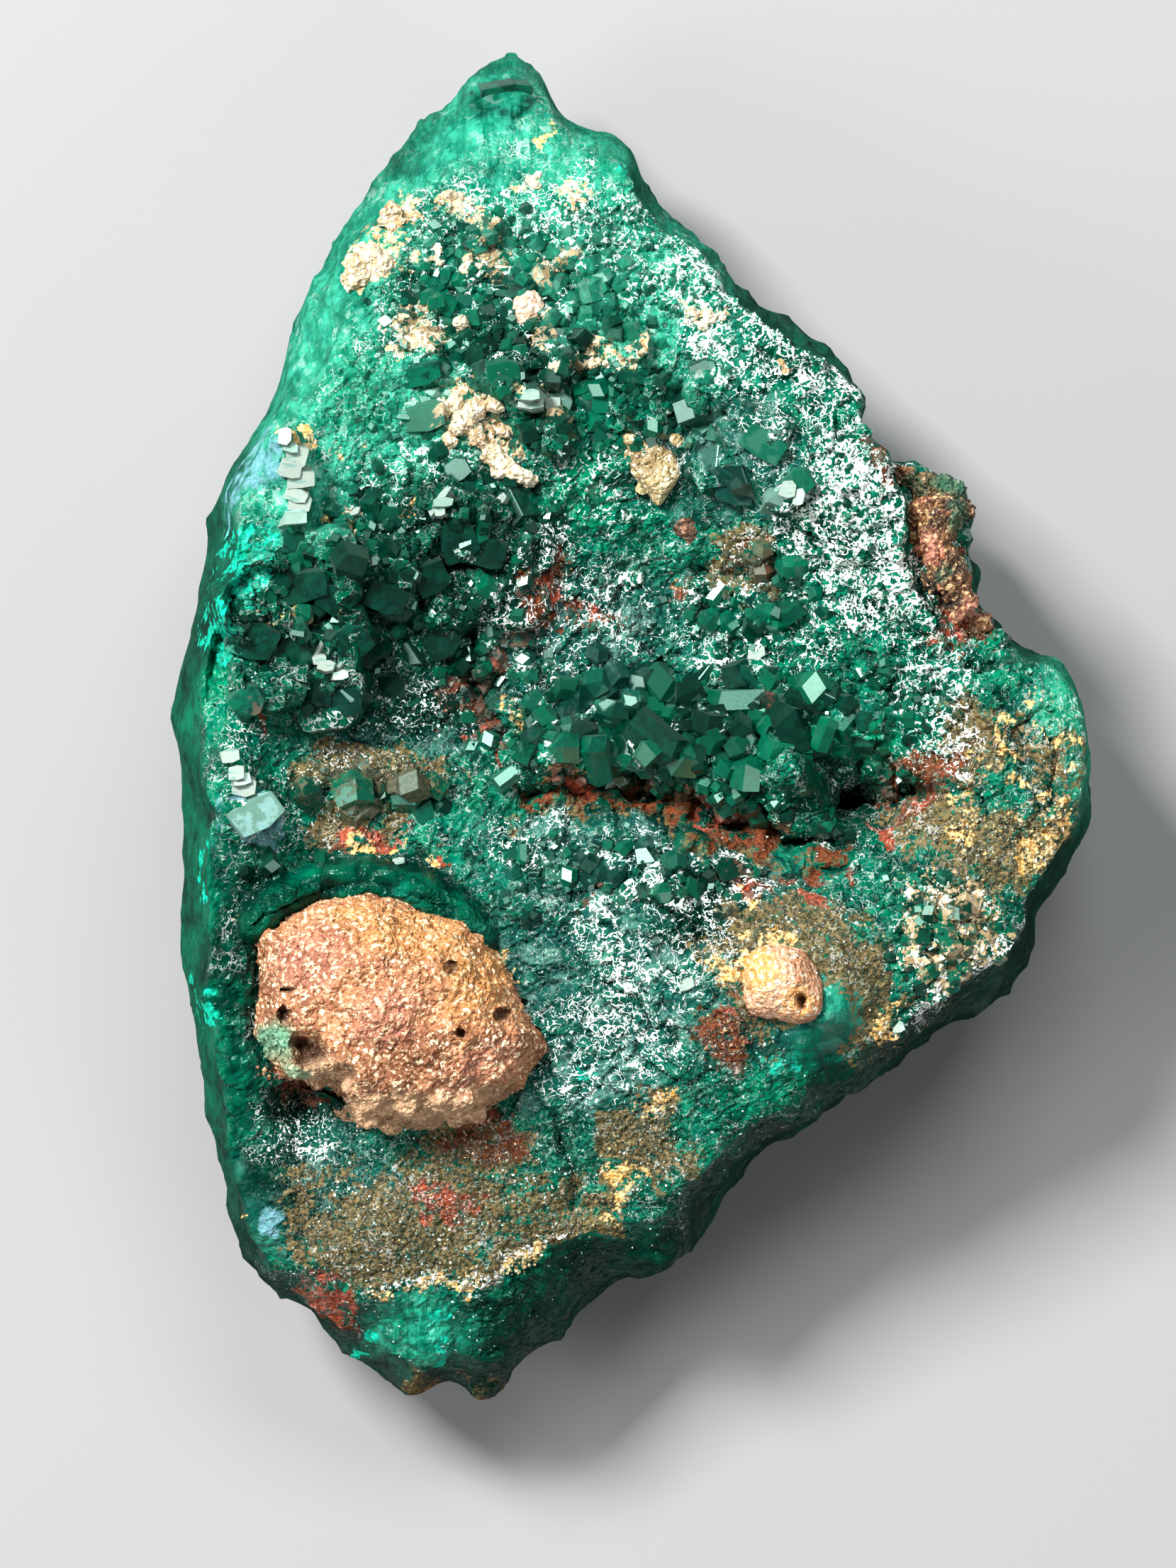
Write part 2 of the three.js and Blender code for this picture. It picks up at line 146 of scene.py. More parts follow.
def noiseOf(vector, scale, detail=3.0, roughness=0.55, distortion=0.0):
    inputs = {"Vector": vector, "Scale": scale, "Detail": detail, "Roughness": roughness}
    inputs["Distortion"] = distortion
    return wireOf(vector.tree, "ShaderNodeTexNoise", 0, inputs)


def cellsOf(vector, scale):
    # the distance to the nearest cell's middle, the cell's colour and its middle
    cells = putNode(vector.tree, "ShaderNodeTexVoronoi", {"Vector": vector, "Scale": scale})
    return [Wire(cells.outputs[name]) for name in ("Distance", "Color", "Position")]


def bordersOf(vector, scale):
    # the distance to the border between two cells
    inputs = {"Vector": vector, "Scale": scale}
    return wireOf(vector.tree, "ShaderNodeTexVoronoi", "Distance", inputs, feature="DISTANCE_TO_EDGE")


def cellTone(vector, scale):
    # one tone for each cell, as the faces of broken crystal have
    return firstPart(cellsOf(vector, scale)[1])


def groupTree(name, kind, inputs, outputs):
    # a node group, the wires that come into it by name, and the node that they leave by
    tree = bpy.data.node_groups.new(name, kind)
    for label, valueKind, *value in inputs:
        socket = tree.interface.new_socket(label, in_out="INPUT", socket_type="NodeSocket" + valueKind)
        if value:
            socket.default_value = value[0]
    for label, valueKind in outputs:
        tree.interface.new_socket(label, in_out="OUTPUT", socket_type="NodeSocket" + valueKind)
    source = putNode(tree, "NodeGroupInput")
    wires = {output.name: Wire(output) for output in source.outputs if output.name}
    return tree, wires, putNode(tree, "NodeGroupOutput")


def linearOf(level):
    # a screen level of 0 to 255 as an amount of light
    share = level / 255
    return share / 12.92 if level <= 10 else ((share + 0.055) / 1.055) ** 2.4


def paint(red, green, blue):
    return linearOf(red), linearOf(green), linearOf(blue), 1.0


stainPlaces = {
    "paleGlass": [  # mint, light-filled glass
        (-5, 22.5, 4.5, 4.2, 0), (-11.3, 16.5, 2.2, 6.5, -28), (-9.5, 12.2, 4.0, 3.0, 0),
        (-12.6, 9.5, 2.2, 3.2, 0), (-2, 18, 6.5, 3.5, -35), (16.6, 0.5, 1.4, 3.6, 10, 0.6),
        (-8.4, -23.2, 2.4, 1.7, 30), (7.2, -10.6, 1.2, 1.1, 20, 0.9),
    ],
    "deepGlass": [  # dark, clear crystals, and painted shade in the cavity, along the ledge and below the large lump
        (-13.2, 4.2, 3.4, 2.4, 0, 0.66), (-7, 6.5, 4.5, 3.2, 0, 0.8), (-13.2, -6.2, 1.0, 0.9, 40),
        (-10.2, -5.4, 2.6, 0.7, 0), (-7.2, -6.7, 1.2, 0.7, -45), (-3.6, 14.2, 2.4, 1.6, 0),
        (8.2, -2.8, 2.2, 1.8, 0), (0.5, -2.8, 5.5, 0.9, -12), (-14.9, -9.2, 1.7, 5.2, 0),
        (-12.4, -14.2, 1.6, 1.1, 20), (-13.4, -17.4, 1.2, 2.4, 20), (2.5, 0.2, 4.0, 1.3, 10),
        (-8.0, 1.6, 3.4, 1.8, 0), (3.0, -6.6, 2.2, 1.4, 0), (14.8, -1.0, 0.5, 1.5, 4),
        (-5.4, 24.4, 1.1, 0.35, 8), (-3.8, 16.2, 0.8, 1.2, 0),
    ],
    "brightGlass": [  # clear green where light comes through
        (-16.1, 1.0, 1.0, 1.9, 0), (-10.8, 13.0, 2.4, 2.0, -20), (-2.2, 9.2, 1.8, 1.0, 0),
        (3.6, 7.2, 1.0, 0.6, 0), (8.6, -0.6, 1.4, 1.0, 0), (-16.4, -9.0, 0.6, 7.0, 4, 0.5),
        (16.8, 0.8, 0.9, 3.0, 8), (5.0, -13.4, 3.4, 1.0, 36, 0.4), (-0.8, 22.0, 1.6, 2.2, 30),
    ],
    "fibrous": [  # striated glass
        (-3.6, 23.4, 3.4, 2.8, 0), (-8.6, -23.6, 2.8, 2.2, 20),
    ],
    "greyGlass": [  # dull blue-green plateaus
        (-1.5, -9.5, 4.6, 6.0, 0), (3.6, 10.2, 2.6, 2.4, 0), (-12, -17, 3.6, 2.6, 20), (-2, 3, 4.5, 3.5, 0),
        (-9, 0.5, 3.4, 1.6, 0), (0.5, -5.0, 6.0, 1.8, -10), (6.6, -11.0, 1.8, 1.6, -30),
    ],
    "cyanGlow": [  # patches of turquoise
        (-14.6, 6.4, 1.3, 1.5, 10), (-16.1, 4.0, 1.1, 1.6, 10), (-0.3, 21.7, 0.9, 1.1, 30),
        (5.6, -11.9, 0.6, 0.4, 0), (-1.4, -12.6, 0.35, 0.3, 0), (-5.1, -17.1, 0.5, 0.45, 0),
        (-1.4, -16.1, 0.35, 0.3, 0), (-7.1, -22.3, 0.5, 0.4, 0), (5.6, -12.2, 1.1, 0.6, -30, 0.8),
        (-7.7, -23.3, 0.5, 0.4, 0), (-10.1, -23.9, 0.5, 0.4, 0), (-13.5, -11.8, 0.5, 0.5, 0),
        (-16.6, -5.2, 0.3, 0.8, 0, 0.8), (-16.4, -10.5, 0.3, 1.0, 0, 0.8),
        (-11.8, 19.2, 0.6, 2.6, -28, 0.8),
    ],
    "brownEdge": [  # brown stain on the tips and the lower edge, and under the ledge, where it is also painted shadow
        (-7.6, -25.4, 1.7, 1.1, 0), (-3.4, -24.7, 0.8, 0.7, 0), (1.2, -20.6, 2.6, 0.35, 33, 0.8),
        (6.4, -16.4, 2.6, 0.35, 33, 0.8), (3.6, -11.4, 1.2, 1.5, 0, 0.8), (11.6, -2.6, 1.6, 1.1, 0, 0.6),
    ],
    "blueHaze": [  # pale blue-grey fibrous skin and plates
        (-14.7, 9.8, 1.1, 2.2, -14), (-14.4, -3.2, 1.0, 0.8, 0), (-14.5, -18.8, 0.3, 0.7, 20),
    ],
    "frostVeins": [  # white sugar between small crystals, with painted glints in its threads and flecks
        (-7.4, -20.7, 2.8, 0.4, 4, 0.7), (-3.8, -19.6, 1.6, 0.4, 32, 0.5), (8.2, 7.4, 2.6, 4.2, 30, 1.0),
        (4.2, 15.0, 4.6, 2.2, -40, 0.55), (11.4, 1.4, 1.6, 3.0, 0, 0.6), (-3.5, 18.6, 5.8, 2.4, 0, 0.4),
        (1.2, -5.3, 4.6, 1.2, -8, 0.5), (0.4, -8.0, 3.4, 2.4, 20, 0.44), (11.6, -8.2, 2.2, 2.6, 30, 0.4),
        (-3, 4.6, 3.2, 3.2, 0, 0.34), (-1.0, -11.5, 3.0, 2.4, 0, 0.42), (-14.6, -0.2, 1.0, 0.8, 0, 0.2),
        (4.5, 4.2, 3.4, 2.8, 0, 0.4), (-4.0, -3.8, 2.0, 1.2, 0, 0.4), (-8.6, 9.6, 3.0, 1.4, 10, 0.3),
        (-1.6, 0.4, 3.4, 1.6, 0, 0.42), (6.5, -4.4, 2.4, 0.6, -8, 0.5), (-13, -15.4, 2.0, 1.6, 0, 0.25),
        (-6.4, 15.4, 4.6, 2.4, 0, 0.26), (-9.0, 1.0, 3.6, 1.6, 0, 0.22), (-12.4, -2.6, 3.6, 1.6, 0, 0.22),
        (6.0, 11.6, 3.0, 2.4, 0, 0.3), (-4.6, -16.4, 4.0, 2.0, 20, 0.12), (14.8, -2.0, 1.8, 3.2, 0, 0.12),
        (7.6, -7.4, 3.0, 2.6, 0, 0.08), (-0.6, 9.4, 4.0, 2.0, 0, 0.2),
    ],
    "khakiCrust": [  # sandy khaki and olive crusts
        (-10.2, -1.6, 3.0, 0.8, 4), (-10.8, -3.6, 1.6, 0.7, 0), (-9.2, -18.7, 4.4, 2.5, 8),
        (6.0, -7.6, 2.6, 1.4, 10), (-4.4, -17.6, 2.4, 1.4, 20, 0.7), (8.4, -9.6, 1.0, 2.2, 0),
        (0.3, -15.6, 1.5, 1.9, -20), (-6.0, -15.8, 2.2, 1.0, 0), (3.9, 6.4, 1.2, 1.2, 0),
        (14.6, -4.4, 2.4, 1.6, 40), (11.6, -3.8, 2.6, 1.1, -8), (15.4, -0.8, 1.1, 1.7, 0, 0.5),
        (-3.2, -19.0, 3.4, 0.9, 32), (12.4, -0.6, 1.6, 1.4, 0), (6.2, -9.4, 4.0, 2.2, -30),
        (12.6, -5.6, 2.2, 1.4, 40, 0.8),
    ],
    "ochreSeam": [  # bright ochre and gold
        (-12.7, 10.5, 0.7, 0.25, -20), (-11.2, 10.5, 0.6, 0.2, 0), (-11.4, 7.6, 1.0, 0.4, -10),
        (15.9, -3.3, 1.0, 0.7, 20), (4.4, -8.6, 1.6, 0.9, 10), (9.4, -11.0, 0.5, 1.0, 0),
        (-0.6, -17.3, 1.2, 0.5, 25), (15.1, 1.3, 0.5, 0.4, 0), (15.4, -4.2, 1.6, 1.0, 50),
        (11.8, -7.4, 1.6, 2.0, 30, 0.7), (-7.6, -20.9, 2.8, 0.5, 6), (-4.0, -20.0, 1.4, 0.4, 32),
        (0.6, -14.3, 1.3, 0.35, 10), (12.2, -2.8, 0.6, 0.6, 0), (13.2, -3.6, 1.6, 0.7, 20, 0.7),
        (12.9, -1.4, 1.0, 0.8, 0, 0.65), (-15, -18.2, 0.2, 0.2, 0), (14.9, -1.8, 0.4, 0.5, 0),
        (-3.5, 22.6, 0.3, 0.9, 20), (-4.6, 0.6, 0.3, 1.4, 20),
    ],
    "rustStain": [  # rust brown and brick red
        (-3.2, 5.7, 0.8, 1.3, 0), (-1.4, 4.4, 1.0, 0.6, 0), (-4.2, 4.0, 0.5, 0.8, 0),
        (-5.5, 2.7, 0.7, 0.6, 0), (-6.3, 1.7, 0.8, 0.5, 30), (-5.9, 0.5, 0.5, 0.7, 0),
        (9.2, 9.7, 0.6, 0.9, 20), (11.0, -1.0, 1.3, 0.6, 12), (12.0, 5.2, 1.1, 2.4, 25),
        (4.4, -5.9, 1.2, 0.45, -30), (3.6, -11.0, 1.2, 1.6, 0), (-13.6, -12.9, 0.8, 0.5, 0),
        (-5.6, -15.3, 1.6, 0.5, 10), (-12.2, -13.8, 1.0, 0.7, 0), (-5.9, -15.9, 2.4, 0.6, 8, 0.6),
        (4.1, 6.2, 0.9, 0.5, 40), (1.6, 5.2, 0.4, 0.8, 20), (10.4, -3.6, 0.4, 0.6, 0),
        (-14.3, 0.4, 0.3, 0.5, 0),
    ],
    "brickRed": [  # brick red earth
        (-7.7, -18.1, 1.5, 0.85, -14), (-11.4, -21.4, 1.0, 1.0, 0), (10.8, 6.8, 0.5, 0.7, 0),
        (12.6, 4.3, 0.7, 0.5, 30), (9.5, -4.2, 0.9, 0.35, -10), (3.6, -5.9, 1.2, 0.35, -30),
        (-10.6, -4.1, 1.6, 0.28, 4), (-14.0, -12.9, 0.45, 0.35, 0), (-1.4, 4.4, 0.7, 0.5, 0),
        (-3.2, 5.4, 0.5, 1.0, 0), (-5.6, 2.6, 0.5, 0.4, 0), (1.4, 5.0, 0.3, 0.6, 0),
        (10.9, -2.9, 0.7, 0.3, 0), (6.9, -6.4, 0.9, 0.5, 0), (11.6, 3.8, 1.0, 0.5, 30),
        (-1.6, -6.6, 0.4, 0.3, 0), (-2.4, -2.3, 1.2, 0.25, 0), (3.0, -3.0, 1.2, 0.3, -25),
        (-7.4, -5.2, 0.8, 0.3, -40), (5.2, 0.2, 0.5, 0.3, 0), (3.8, -10.2, 0.7, 0.5, 0),
        (-6.2, 0.2, 0.4, 0.5, 0),
    ],
    "creamCrust": [  # loose cream sugar round the nodules
        (-9.9, 17.9, 1.5, 1.3, 0), (-8.2, 15.0, 1.4, 0.8, 0), (-8.9, 19.5, 0.8, 0.6, 0),
        (-6.6, 19.9, 1.1, 0.5, 0), (-5.6, 18.0, 1.0, 0.9, 0), (-3.4, 17.6, 0.6, 0.5, 0),
        (-1.0, 14.0, 1.4, 0.5, -10), (2.6, 15.4, 0.9, 0.5, 0), (-4.0, 20.8, 0.5, 0.4, 0),
        (-2.2, 20.0, 0.5, 0.4, 0), (-5.8, 11.2, 1.8, 0.6, -50), (-6.4, 12.4, 1.6, 0.5, 10),
        (11.8, -8.0, 2.1, 3.0, 30, 0.85), (-3.6, 12.4, 0.9, 0.5, 0), (9.8, -11.2, 0.4, 0.4, 0),
        (-10.7, 8.2, 0.4, 0.3, 0), (-3.4, 15.2, 0.5, 0.7, 0),
    ],
}

# Grooves and steps of the top face: a line of points, a half width and a depth.
eyeRing = [(15.0, 0.8), (15.8, -0.4), (15.8, -1.8), (15.1, -2.9), (14.3, -1.8), (14.3, -0.4), (15.0, 0.8)]
grooves = [
    ([(-4.4, -2.2), (-1.8, -1.9), (1.2, -2.3), (3.6, -3.5), (5.7, -4.1), (7.4, -4.0)], 0.34, 1.3),
    ([(5.0, -5.7), (6.6, -5.5), (8.4, -5.2)], 0.22, 0.45),
    ([(-12.6, -2.5), (-10.0, -2.3), (-7.6, -2.5)], 0.16, 0.25),
    ([(-13.2, 8.0), (-10.6, 7.2), (-8.2, 7.4)], 0.2, 0.35),
    ([(-6.4, 1.8), (-5.2, -0.2), (-4.6, -2.0)], 0.28, 0.4),
    ([(-13.4, -13.6), (-11.4, -13.9), (-10.6, -15.2)], 0.45, 0.5),
    (eyeRing, 0.16, 0.4),
    ([(0.6, 3.0), (3.2, 0.8), (4.4, 0.0)], 0.25, 0.4),
    ([(-4.2, -6.2), (-1.0, -6.0), (2.4, -7.4)], 0.14, 0.3),
    ([(-3.2, -9.0), (0.2, -9.6), (1.6, -12.6)], 0.14, 0.3),
    ([(1.8, -4.2), (2.6, -6.6), (2.2, -9.0)], 0.14, 0.28),
    ([(-3.6, -14.0), (-2.2, -16.6), (-2.6, -18.2)], 0.2, 0.35),
    ([(2.6, 12.6), (3.0, 9.6), (4.4, 7.8)], 0.16, 0.4),
    ([(-4.8, 13.2), (-2.0, 13.0), (1.0, 13.4)], 0.2, 0.35),
]
pits = [  # place, radius and depth, below 0 for a dome
    (6.9, -10.7, 1.25, -0.42), (5.9, -12.2, 1.0, -0.35), (-0.5, 21.7, 0.7, -0.25), (8.1, -2.4, 1.15, 0.8),
    (7.2, -3.0, 0.7, 0.6), (10.4, -2.3, 0.62, 1.7), (-12.8, -14.0, 0.9, 0.9), (9.2, -3.1, 0.6, 0.6),
    (-14.4, 4.3, 2.7, 1.5),
]

# The glassy arch above the large lump: a line, a half width and a rise.
arch = [
    (-14.2, -7.3), (-13.6, -6.5), (-12.2, -5.8), (-10.1, -5.5), (-8.3, -5.9), (-7.0, -6.8), (-6.1, -7.7),
]
rims = [(arch, 0.72, 1.0)]

# The brown foot of the ledge, where no crystals grow: rust, painted darker as the shadow under the overhang.
ledgeFoot = [(-4.6, -2.7), (-1.8, -2.5), (1.2, -2.9), (3.6, -4.1), (5.8, -4.8), (7.6, -4.8)]

# Seams: a line of points and a half width.
seamPlaces = {
    "deepGlass": [(arch, 0.9), (eyeRing, 0.24)],
    "ochreSeam": [
        ([(14.3, 0.9), (13.8, -0.6), (14.2, -2.3)], 0.22),
        ([(15.3, 0.6), (15.9, -0.9), (15.4, -2.7)], 0.24),
        ([(-12.6, -5.4), (-10.8, -4.3), (-9.2, -4.4), (-7.6, -5.4)], 0.2),
        ([(-12.0, 7.9), (-9.6, 8.2), (-7.8, 8.3)], 0.14),
        ([(-14.2, 4.6), (-12.6, 4.1), (-10.4, 3.9)], 0.1),
        ([(3.2, -5.4), (4.6, -6.6)], 0.2),
        ([(2.2, -8.0), (2.6, -9.4)], 0.2),
        ([(-14.4, -7.4), (-11.8, -6.3), (-10.0, -5.9), (-8.0, -6.6), (-6.4, -7.3), (-4.8, -9.0)], 0.25),
    ],
    "brownEdge": [(ledgeFoot, 0.8)],
    "rustStain": [
        ([(9.5, -2.3), (9.9, -1.5), (11.0, -1.4), (11.4, -2.4), (10.6, -3.2)], 0.5),
        # under the ledge: rust, and painted shadow below the overhang
        ([(-4.6, -2.5), (-1.8, -2.4), (1.2, -2.8), (3.6, -4.0), (5.8, -4.6), (7.6, -4.6)], 0.6),
        ([(-6.6, 1.6), (-5.4, -0.4), (-4.8, -2.0)], 0.25),
        ([(4.9, -5.7), (6.6, -5.5), (8.4, -5.2)], 0.25),
        ([(-11.9, -22.0), (-6.5, -25.0)], 0.5),
    ],
}

# The smooth glassy edge down the left side, which carries no crystals.
glassyRim = [
    (-6.0, 24.5), (-9.4, 20.4), (-12.4, 14.6), (-13.6, 12.2), (-15.7, 8.6), (-16.9, 4.4), (-17.3, 0.0),
    (-17.0, -5.0), (-16.4, -10.0), (-15.8, -15.0), (-14.6, -19.6),
]

# Where the top face ends along the lower edge and the glassy wall begins.
lowerEdge = [
    (-10.6, -21.8), (-5.4, -21.2), (-2.3, -18.9), (-0.1, -18.5), (1.6, -17.6), (3.5, -15.8), (5.2, -15.1),
    (9.1, -12.1), (13.2, -9.8), (15.1, -7.0),
]

# What kind of surface the top face has where, as middle, half axes and turn.
zonePlaces = {
    "crystalBand": [  # separate crystals of a millimetre or more
        (2.6, 0.2, 6.6, 2.0, 6), (-10.6, -2.4, 3.0, 1.0, 0), (-1.0, 1.0, 3.0, 1.6, 0),
        (-11.4, 5.4, 3.2, 2.6, 0, 0.5),
    ],
    "druseZone": [  # crowded crystals of about half a millimetre
        (-4.8, 16.4, 5.6, 3.6, -10), (-7.6, 7.2, 4.4, 3.6, 0, 0.9), (-12.4, 4.2, 3.8, 3.6, 0, 0.7),
        (-2.0, 12.2, 6.0, 2.0, -6), (11.6, -7.8, 2.4, 3.0, 30), (0.2, -5.2, 5.6, 1.2, -6),
        (4.5, 5.0, 2.6, 2.2, 0), (-5.0, 1.6, 2.6, 3.0, 0), (8.2, -2.8, 2.2, 1.6, 0),
        (-12.8, -5.4, 2.4, 0.7, 0), (1.4, -2.4, 5.8, 0.8, -10), (-8.4, 12.0, 2.6, 1.6, 0, 0.6),
        (-1.4, -6.4, 4.0, 1.0, 0, 0.5), (9.6, 0.6, 2.4, 2.0, 0, 0.6),
    ],
    "wormZone": [  # glossy little bumps grown together
        (8.6, 7.4, 4.4, 6.6, 40), (4.0, 15.4, 6.2, 3.4, -42), (11.4, 0.8, 2.8, 4.0, 0),
        (0.2, 4.4, 4.6, 3.4, 0), (-0.4, 18.4, 4.2, 2.6, -20), (-2.4, 8.8, 4.0, 2.4, 0),
        (7.2, 2.8, 3.6, 2.2, 0),
    ],
    "plateZone": [  # flat plates with cracks between them
        (-0.6, -10.2, 5.0, 5.2, 0), (3.9, 10.4, 2.4, 2.4, 0), (-8.8, 0.6, 2.8, 1.6, 0),
        (-1.6, -3.6, 4.0, 1.0, 0), (13.2, -3.6, 3.0, 2.4, 0), (-9.6, 12.6, 2.6, 2.0, 0),
    ],
    "fineZone": [  # smooth, set with very fine sparkling crystals
        (-9.6, -18.0, 5.4, 3.4, 10), (6.4, -8.4, 3.4, 3.0, 0), (-3.6, -16.8, 4.0, 2.4, 30),
        (0.3, -15.4, 2.0, 2.2, 0), (-8.6, 0.4, 3.0, 1.5, 0), (-10.2, -1.4, 3.2, 0.9, 0),
        (13.8, -4.6, 2.4, 2.0, 30), (3.4, -12.2, 2.4, 1.6, 30), (-12.6, -14.6, 1.6, 1.2, 0),
    ],
}


apexFade = (20.0, 22.5)  # up the slab, where the crystals end and the smooth apex begins

# Heights over which stains come in: crusts, brown tips and the side stains of both ends; and the mint glass,
# a paler glass that is also painted lighter higher up.
stainLevels = {
    "crust": (5.0, 8.0), "mint": (3.0, 9.0), "tip": (0.4, 2.5),
    "upperSide": (8.5, 10.5), "lowerSide": (3.5, 5.5),
}
lowerEndsAt = -4.0  # the side stains below this line reach further down


def flatDistance(x, y, place):
    middleX, middleY, halfX, halfY, turn = place
    angle = math.radians(turn)
    u = ((x - middleX) * math.cos(angle) + (y - middleY) * math.sin(angle)) / halfX
    v = ((y - middleY) * math.cos(angle) - (x - middleX) * math.sin(angle)) / halfY
    return np.sqrt(u * u + v * v)


def smoothStep(low, high, value):
    t = np.clip((value - low) / (high - low), 0.0, 1.0)
    return t * t * (3.0 - 2.0 * t)


def patchMask(x, y, places):
    # a sixth number in a place is its strength
    mask = np.zeros(len(x))
    for place in places:
        strength = place[5] if len(place) > 5 else 1.0
        mask = np.maximum(mask, strength * (1.0 - smoothStep(0.55, 1.35, flatDistance(x, y, place[:5]))))
    return mask


def lineDistance(x, y, line):
    nearest = np.full(len(x), 1e9)
    for (startX, startY), (endX, endY) in zip(line, line[1:]):
        sideX, sideY = endX - startX, endY - startY
        along = (x - startX) * sideX + (y - startY) * sideY
        share = np.clip(along / (sideX ** 2 + sideY ** 2), 0.0, 1.0)
        nearest = np.minimum(nearest, np.hypot(x - startX - share * sideX, y - startY - share * sideY))
    return nearest


def clearOfRims(x, y, low, high):
    # 0 on the glassy arch, 1 away from it
    clear = np.ones(len(x))
    for line, halfWidth, rise in rims:
        clear = clear * smoothStep(low, high, lineDistance(x, y, line) / halfWidth)
    return clear


def riseOverEdge(x, y):
    # how far up the slab a place lies from its lower edge
    edgeX, edgeY = np.array(lowerEdge).T
    return y - np.interp(x, edgeX, edgeY)


def waves(x, y, size, seed):
    total = np.zeros(len(x))
    for i in range(5):
        angle = seed * 1.7 + i * 2.4
        u = (x * math.cos(angle) + y * math.sin(angle)) / size * (1.0 + 0.37 * i)
        v = (y * math.cos(angle) - x * math.sin(angle)) / size * (1.0 + 0.21 * i)
        total += np.sin(u * 2.3 + seed + 1.3 * np.sin(v * 1.9 + i)) / (1.0 + 0.5 * i)
    return total / 2.4


def shaken(x, y, seeds):
    # a long, a middling and a short wave
    sizes = (2.6, 1.1, 0.5)
    broad, middling, short = (waves(x, y, size, seed) for size, seed in zip(sizes, seeds))
    return 0.5 * (1.5 * broad + middling + 0.5 * short)


# Meshes as arrays.

def readVectors(mesh, name):
    values = np.zeros(len(mesh.vertices) * 3)
    mesh.vertices.foreach_get(name, values)
    return values.reshape(-1, 3)


def coordsOf(mesh):
    return readVectors(mesh, "co")


def normalsOf(mesh):
    return readVectors(mesh, "normal")


def movePoints(mesh, coords):
    mesh.vertices.foreach_set("co", coords.ravel())


def readMask(mesh, name):
    values = np.zeros(len(mesh.vertices), dtype=np.float32)
    mesh.attributes[name].data.foreach_get("value", values)
    return values


def writeMask(mesh, name, values):
    layer = mesh.attributes.get(name) or mesh.attributes.new(name, "FLOAT", "POINT")
    layer.data.foreach_set("value", np.asarray(values, dtype=np.float32))


def edgeEnds(mesh):
    ends = np.zeros(len(mesh.edges) * 2, dtype=np.int32)
    mesh.edges.foreach_get("vertices", ends)
    return ends.reshape(-1, 2).T


def neighbourMean(values, first, second):
    # for each point, the mean of the values at the other ends of its edges
    size = len(values)
    total = np.bincount(first, values[second], size) + np.bincount(second, values[first], size)
    count = np.bincount(first, minlength=size) + np.bincount(second, minlength=size)
    return total / np.maximum(count, 1)


def plainMesh(name, points, faces):
    mesh = bpy.data.meshes.new(name)
    mesh.from_pydata(points, [], faces)
    mesh.update()
    return mesh


def linkObject(name, mesh):
    obj = bpy.data.objects.new(name, mesh)
    bpy.context.scene.collection.objects.link(obj)
    return obj


def bakeModifiers(obj, name):
    # the evaluated object as a plain mesh, and the object is gone
    bpy.context.view_layer.update()
    graph = bpy.context.evaluated_depsgraph_get()
    shaped = obj.evaluated_get(graph)
    mesh = bpy.data.meshes.new_from_object(shaped, preserve_all_data_layers=True, depsgraph=graph)
    mesh.name = name
    obj.modifiers.clear()
    bpy.data.objects.remove(obj)
    return mesh


def throughTree(mesh, name, tree, values):
    # a mesh put through a geometry nodes tree, whose inputs are set by their identifiers
    work = linkObject("work", mesh)
    modifier = work.modifiers.new("tree", "NODES")
    modifier.node_group = tree
    for item in tree.interface.items_tree:
        if item.item_type == "SOCKET" and item.in_out == "INPUT" and item.name in values:
            modifier[item.identifier] = values[item.name]
    return bakeModifiers(work, name)


def cadCopy(nodeName, name):
    # a merged copy of a CAD node, in millimetres
    mesh = frame["nodes"][nodeName].data.copy()
    mesh.name = name
    mesh.materials.clear()
    work = bmesh.new()
    work.from_mesh(mesh)
    bmesh.ops.remove_doubles(work, verts=work.verts, dist=1e-7)
    bmesh.ops.scale(work, verts=work.verts, vec=(1 / mm, 1 / mm, 1 / mm))
    work.to_mesh(mesh)
    work.free()
    return mesh


def remeshed(mesh, voxel, smoothing):
    work = linkObject("work", mesh)
    remesh = work.modifiers.new("even", "REMESH")
    remesh.mode = "VOXEL"
    remesh.voxel_size = voxel
    soften = work.modifiers.new("soften", "SMOOTH")
    soften.factor = 0.5
    soften.iterations = smoothing
    return bakeModifiers(work, mesh.name)


def skinOf(mesh):
    return BVHTree.FromPolygons([v.co for v in mesh.vertices], [p.vertices[:] for p in mesh.polygons])


def hitBelow(skin, x, y):
    # the first point that a plumb line meets
    return skin.ray_cast(Vector((x, y, 40)), Vector((0, 0, -1)))[0]


def finishPiece(mesh, name, slotName, material, *nodeNames):
    # back to metres, riding on the specimen's one body
    mesh.transform(Matrix.Scale(mm, 4))
    obj = linkObject(name, mesh)
    mesh.materials.clear()
    mesh.materials.append(material)
    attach(obj, "root")
    if nodeNames:
        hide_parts(*nodeNames)
    print("made", name, len(mesh.polygons), "faces")


clearDomes = [(7.0, -10.7, 1.5, 1.3, -40), (6.4, -12.2, 1.9, 0.8, -30), (-0.6, 21.7, 0.8, 0.9, 0)]
topStains = ("khakiCrust", "ochreSeam", "rustStain", "brickRed", "creamCrust", "frostVeins")
sideStains = ("blueHaze", "cyanGlow")


def crustGround(coords, x, y):
    # crusts lie on the top face, clear of the domes, the arch and the wall below the lower edge
    high = smoothStep(*stainLevels["crust"], coords[:, 2] + 0.6 * waves(x, y, 1.2, 3))
    high = high * (1.0 - patchMask(coords[:, 0], coords[:, 1], clearDomes))
    high = high * clearOfRims(coords[:, 0], coords[:, 1], 0.8, 1.4)
    above = smoothStep(-0.7, 0.1, riseOverEdge(x, y) + 0.3 * waves(x, y, 0.7, 31))
    return high * np.where((x > lowerEdge[0][0]) & (x < lowerEdge[-1][0]), above, 1.0)


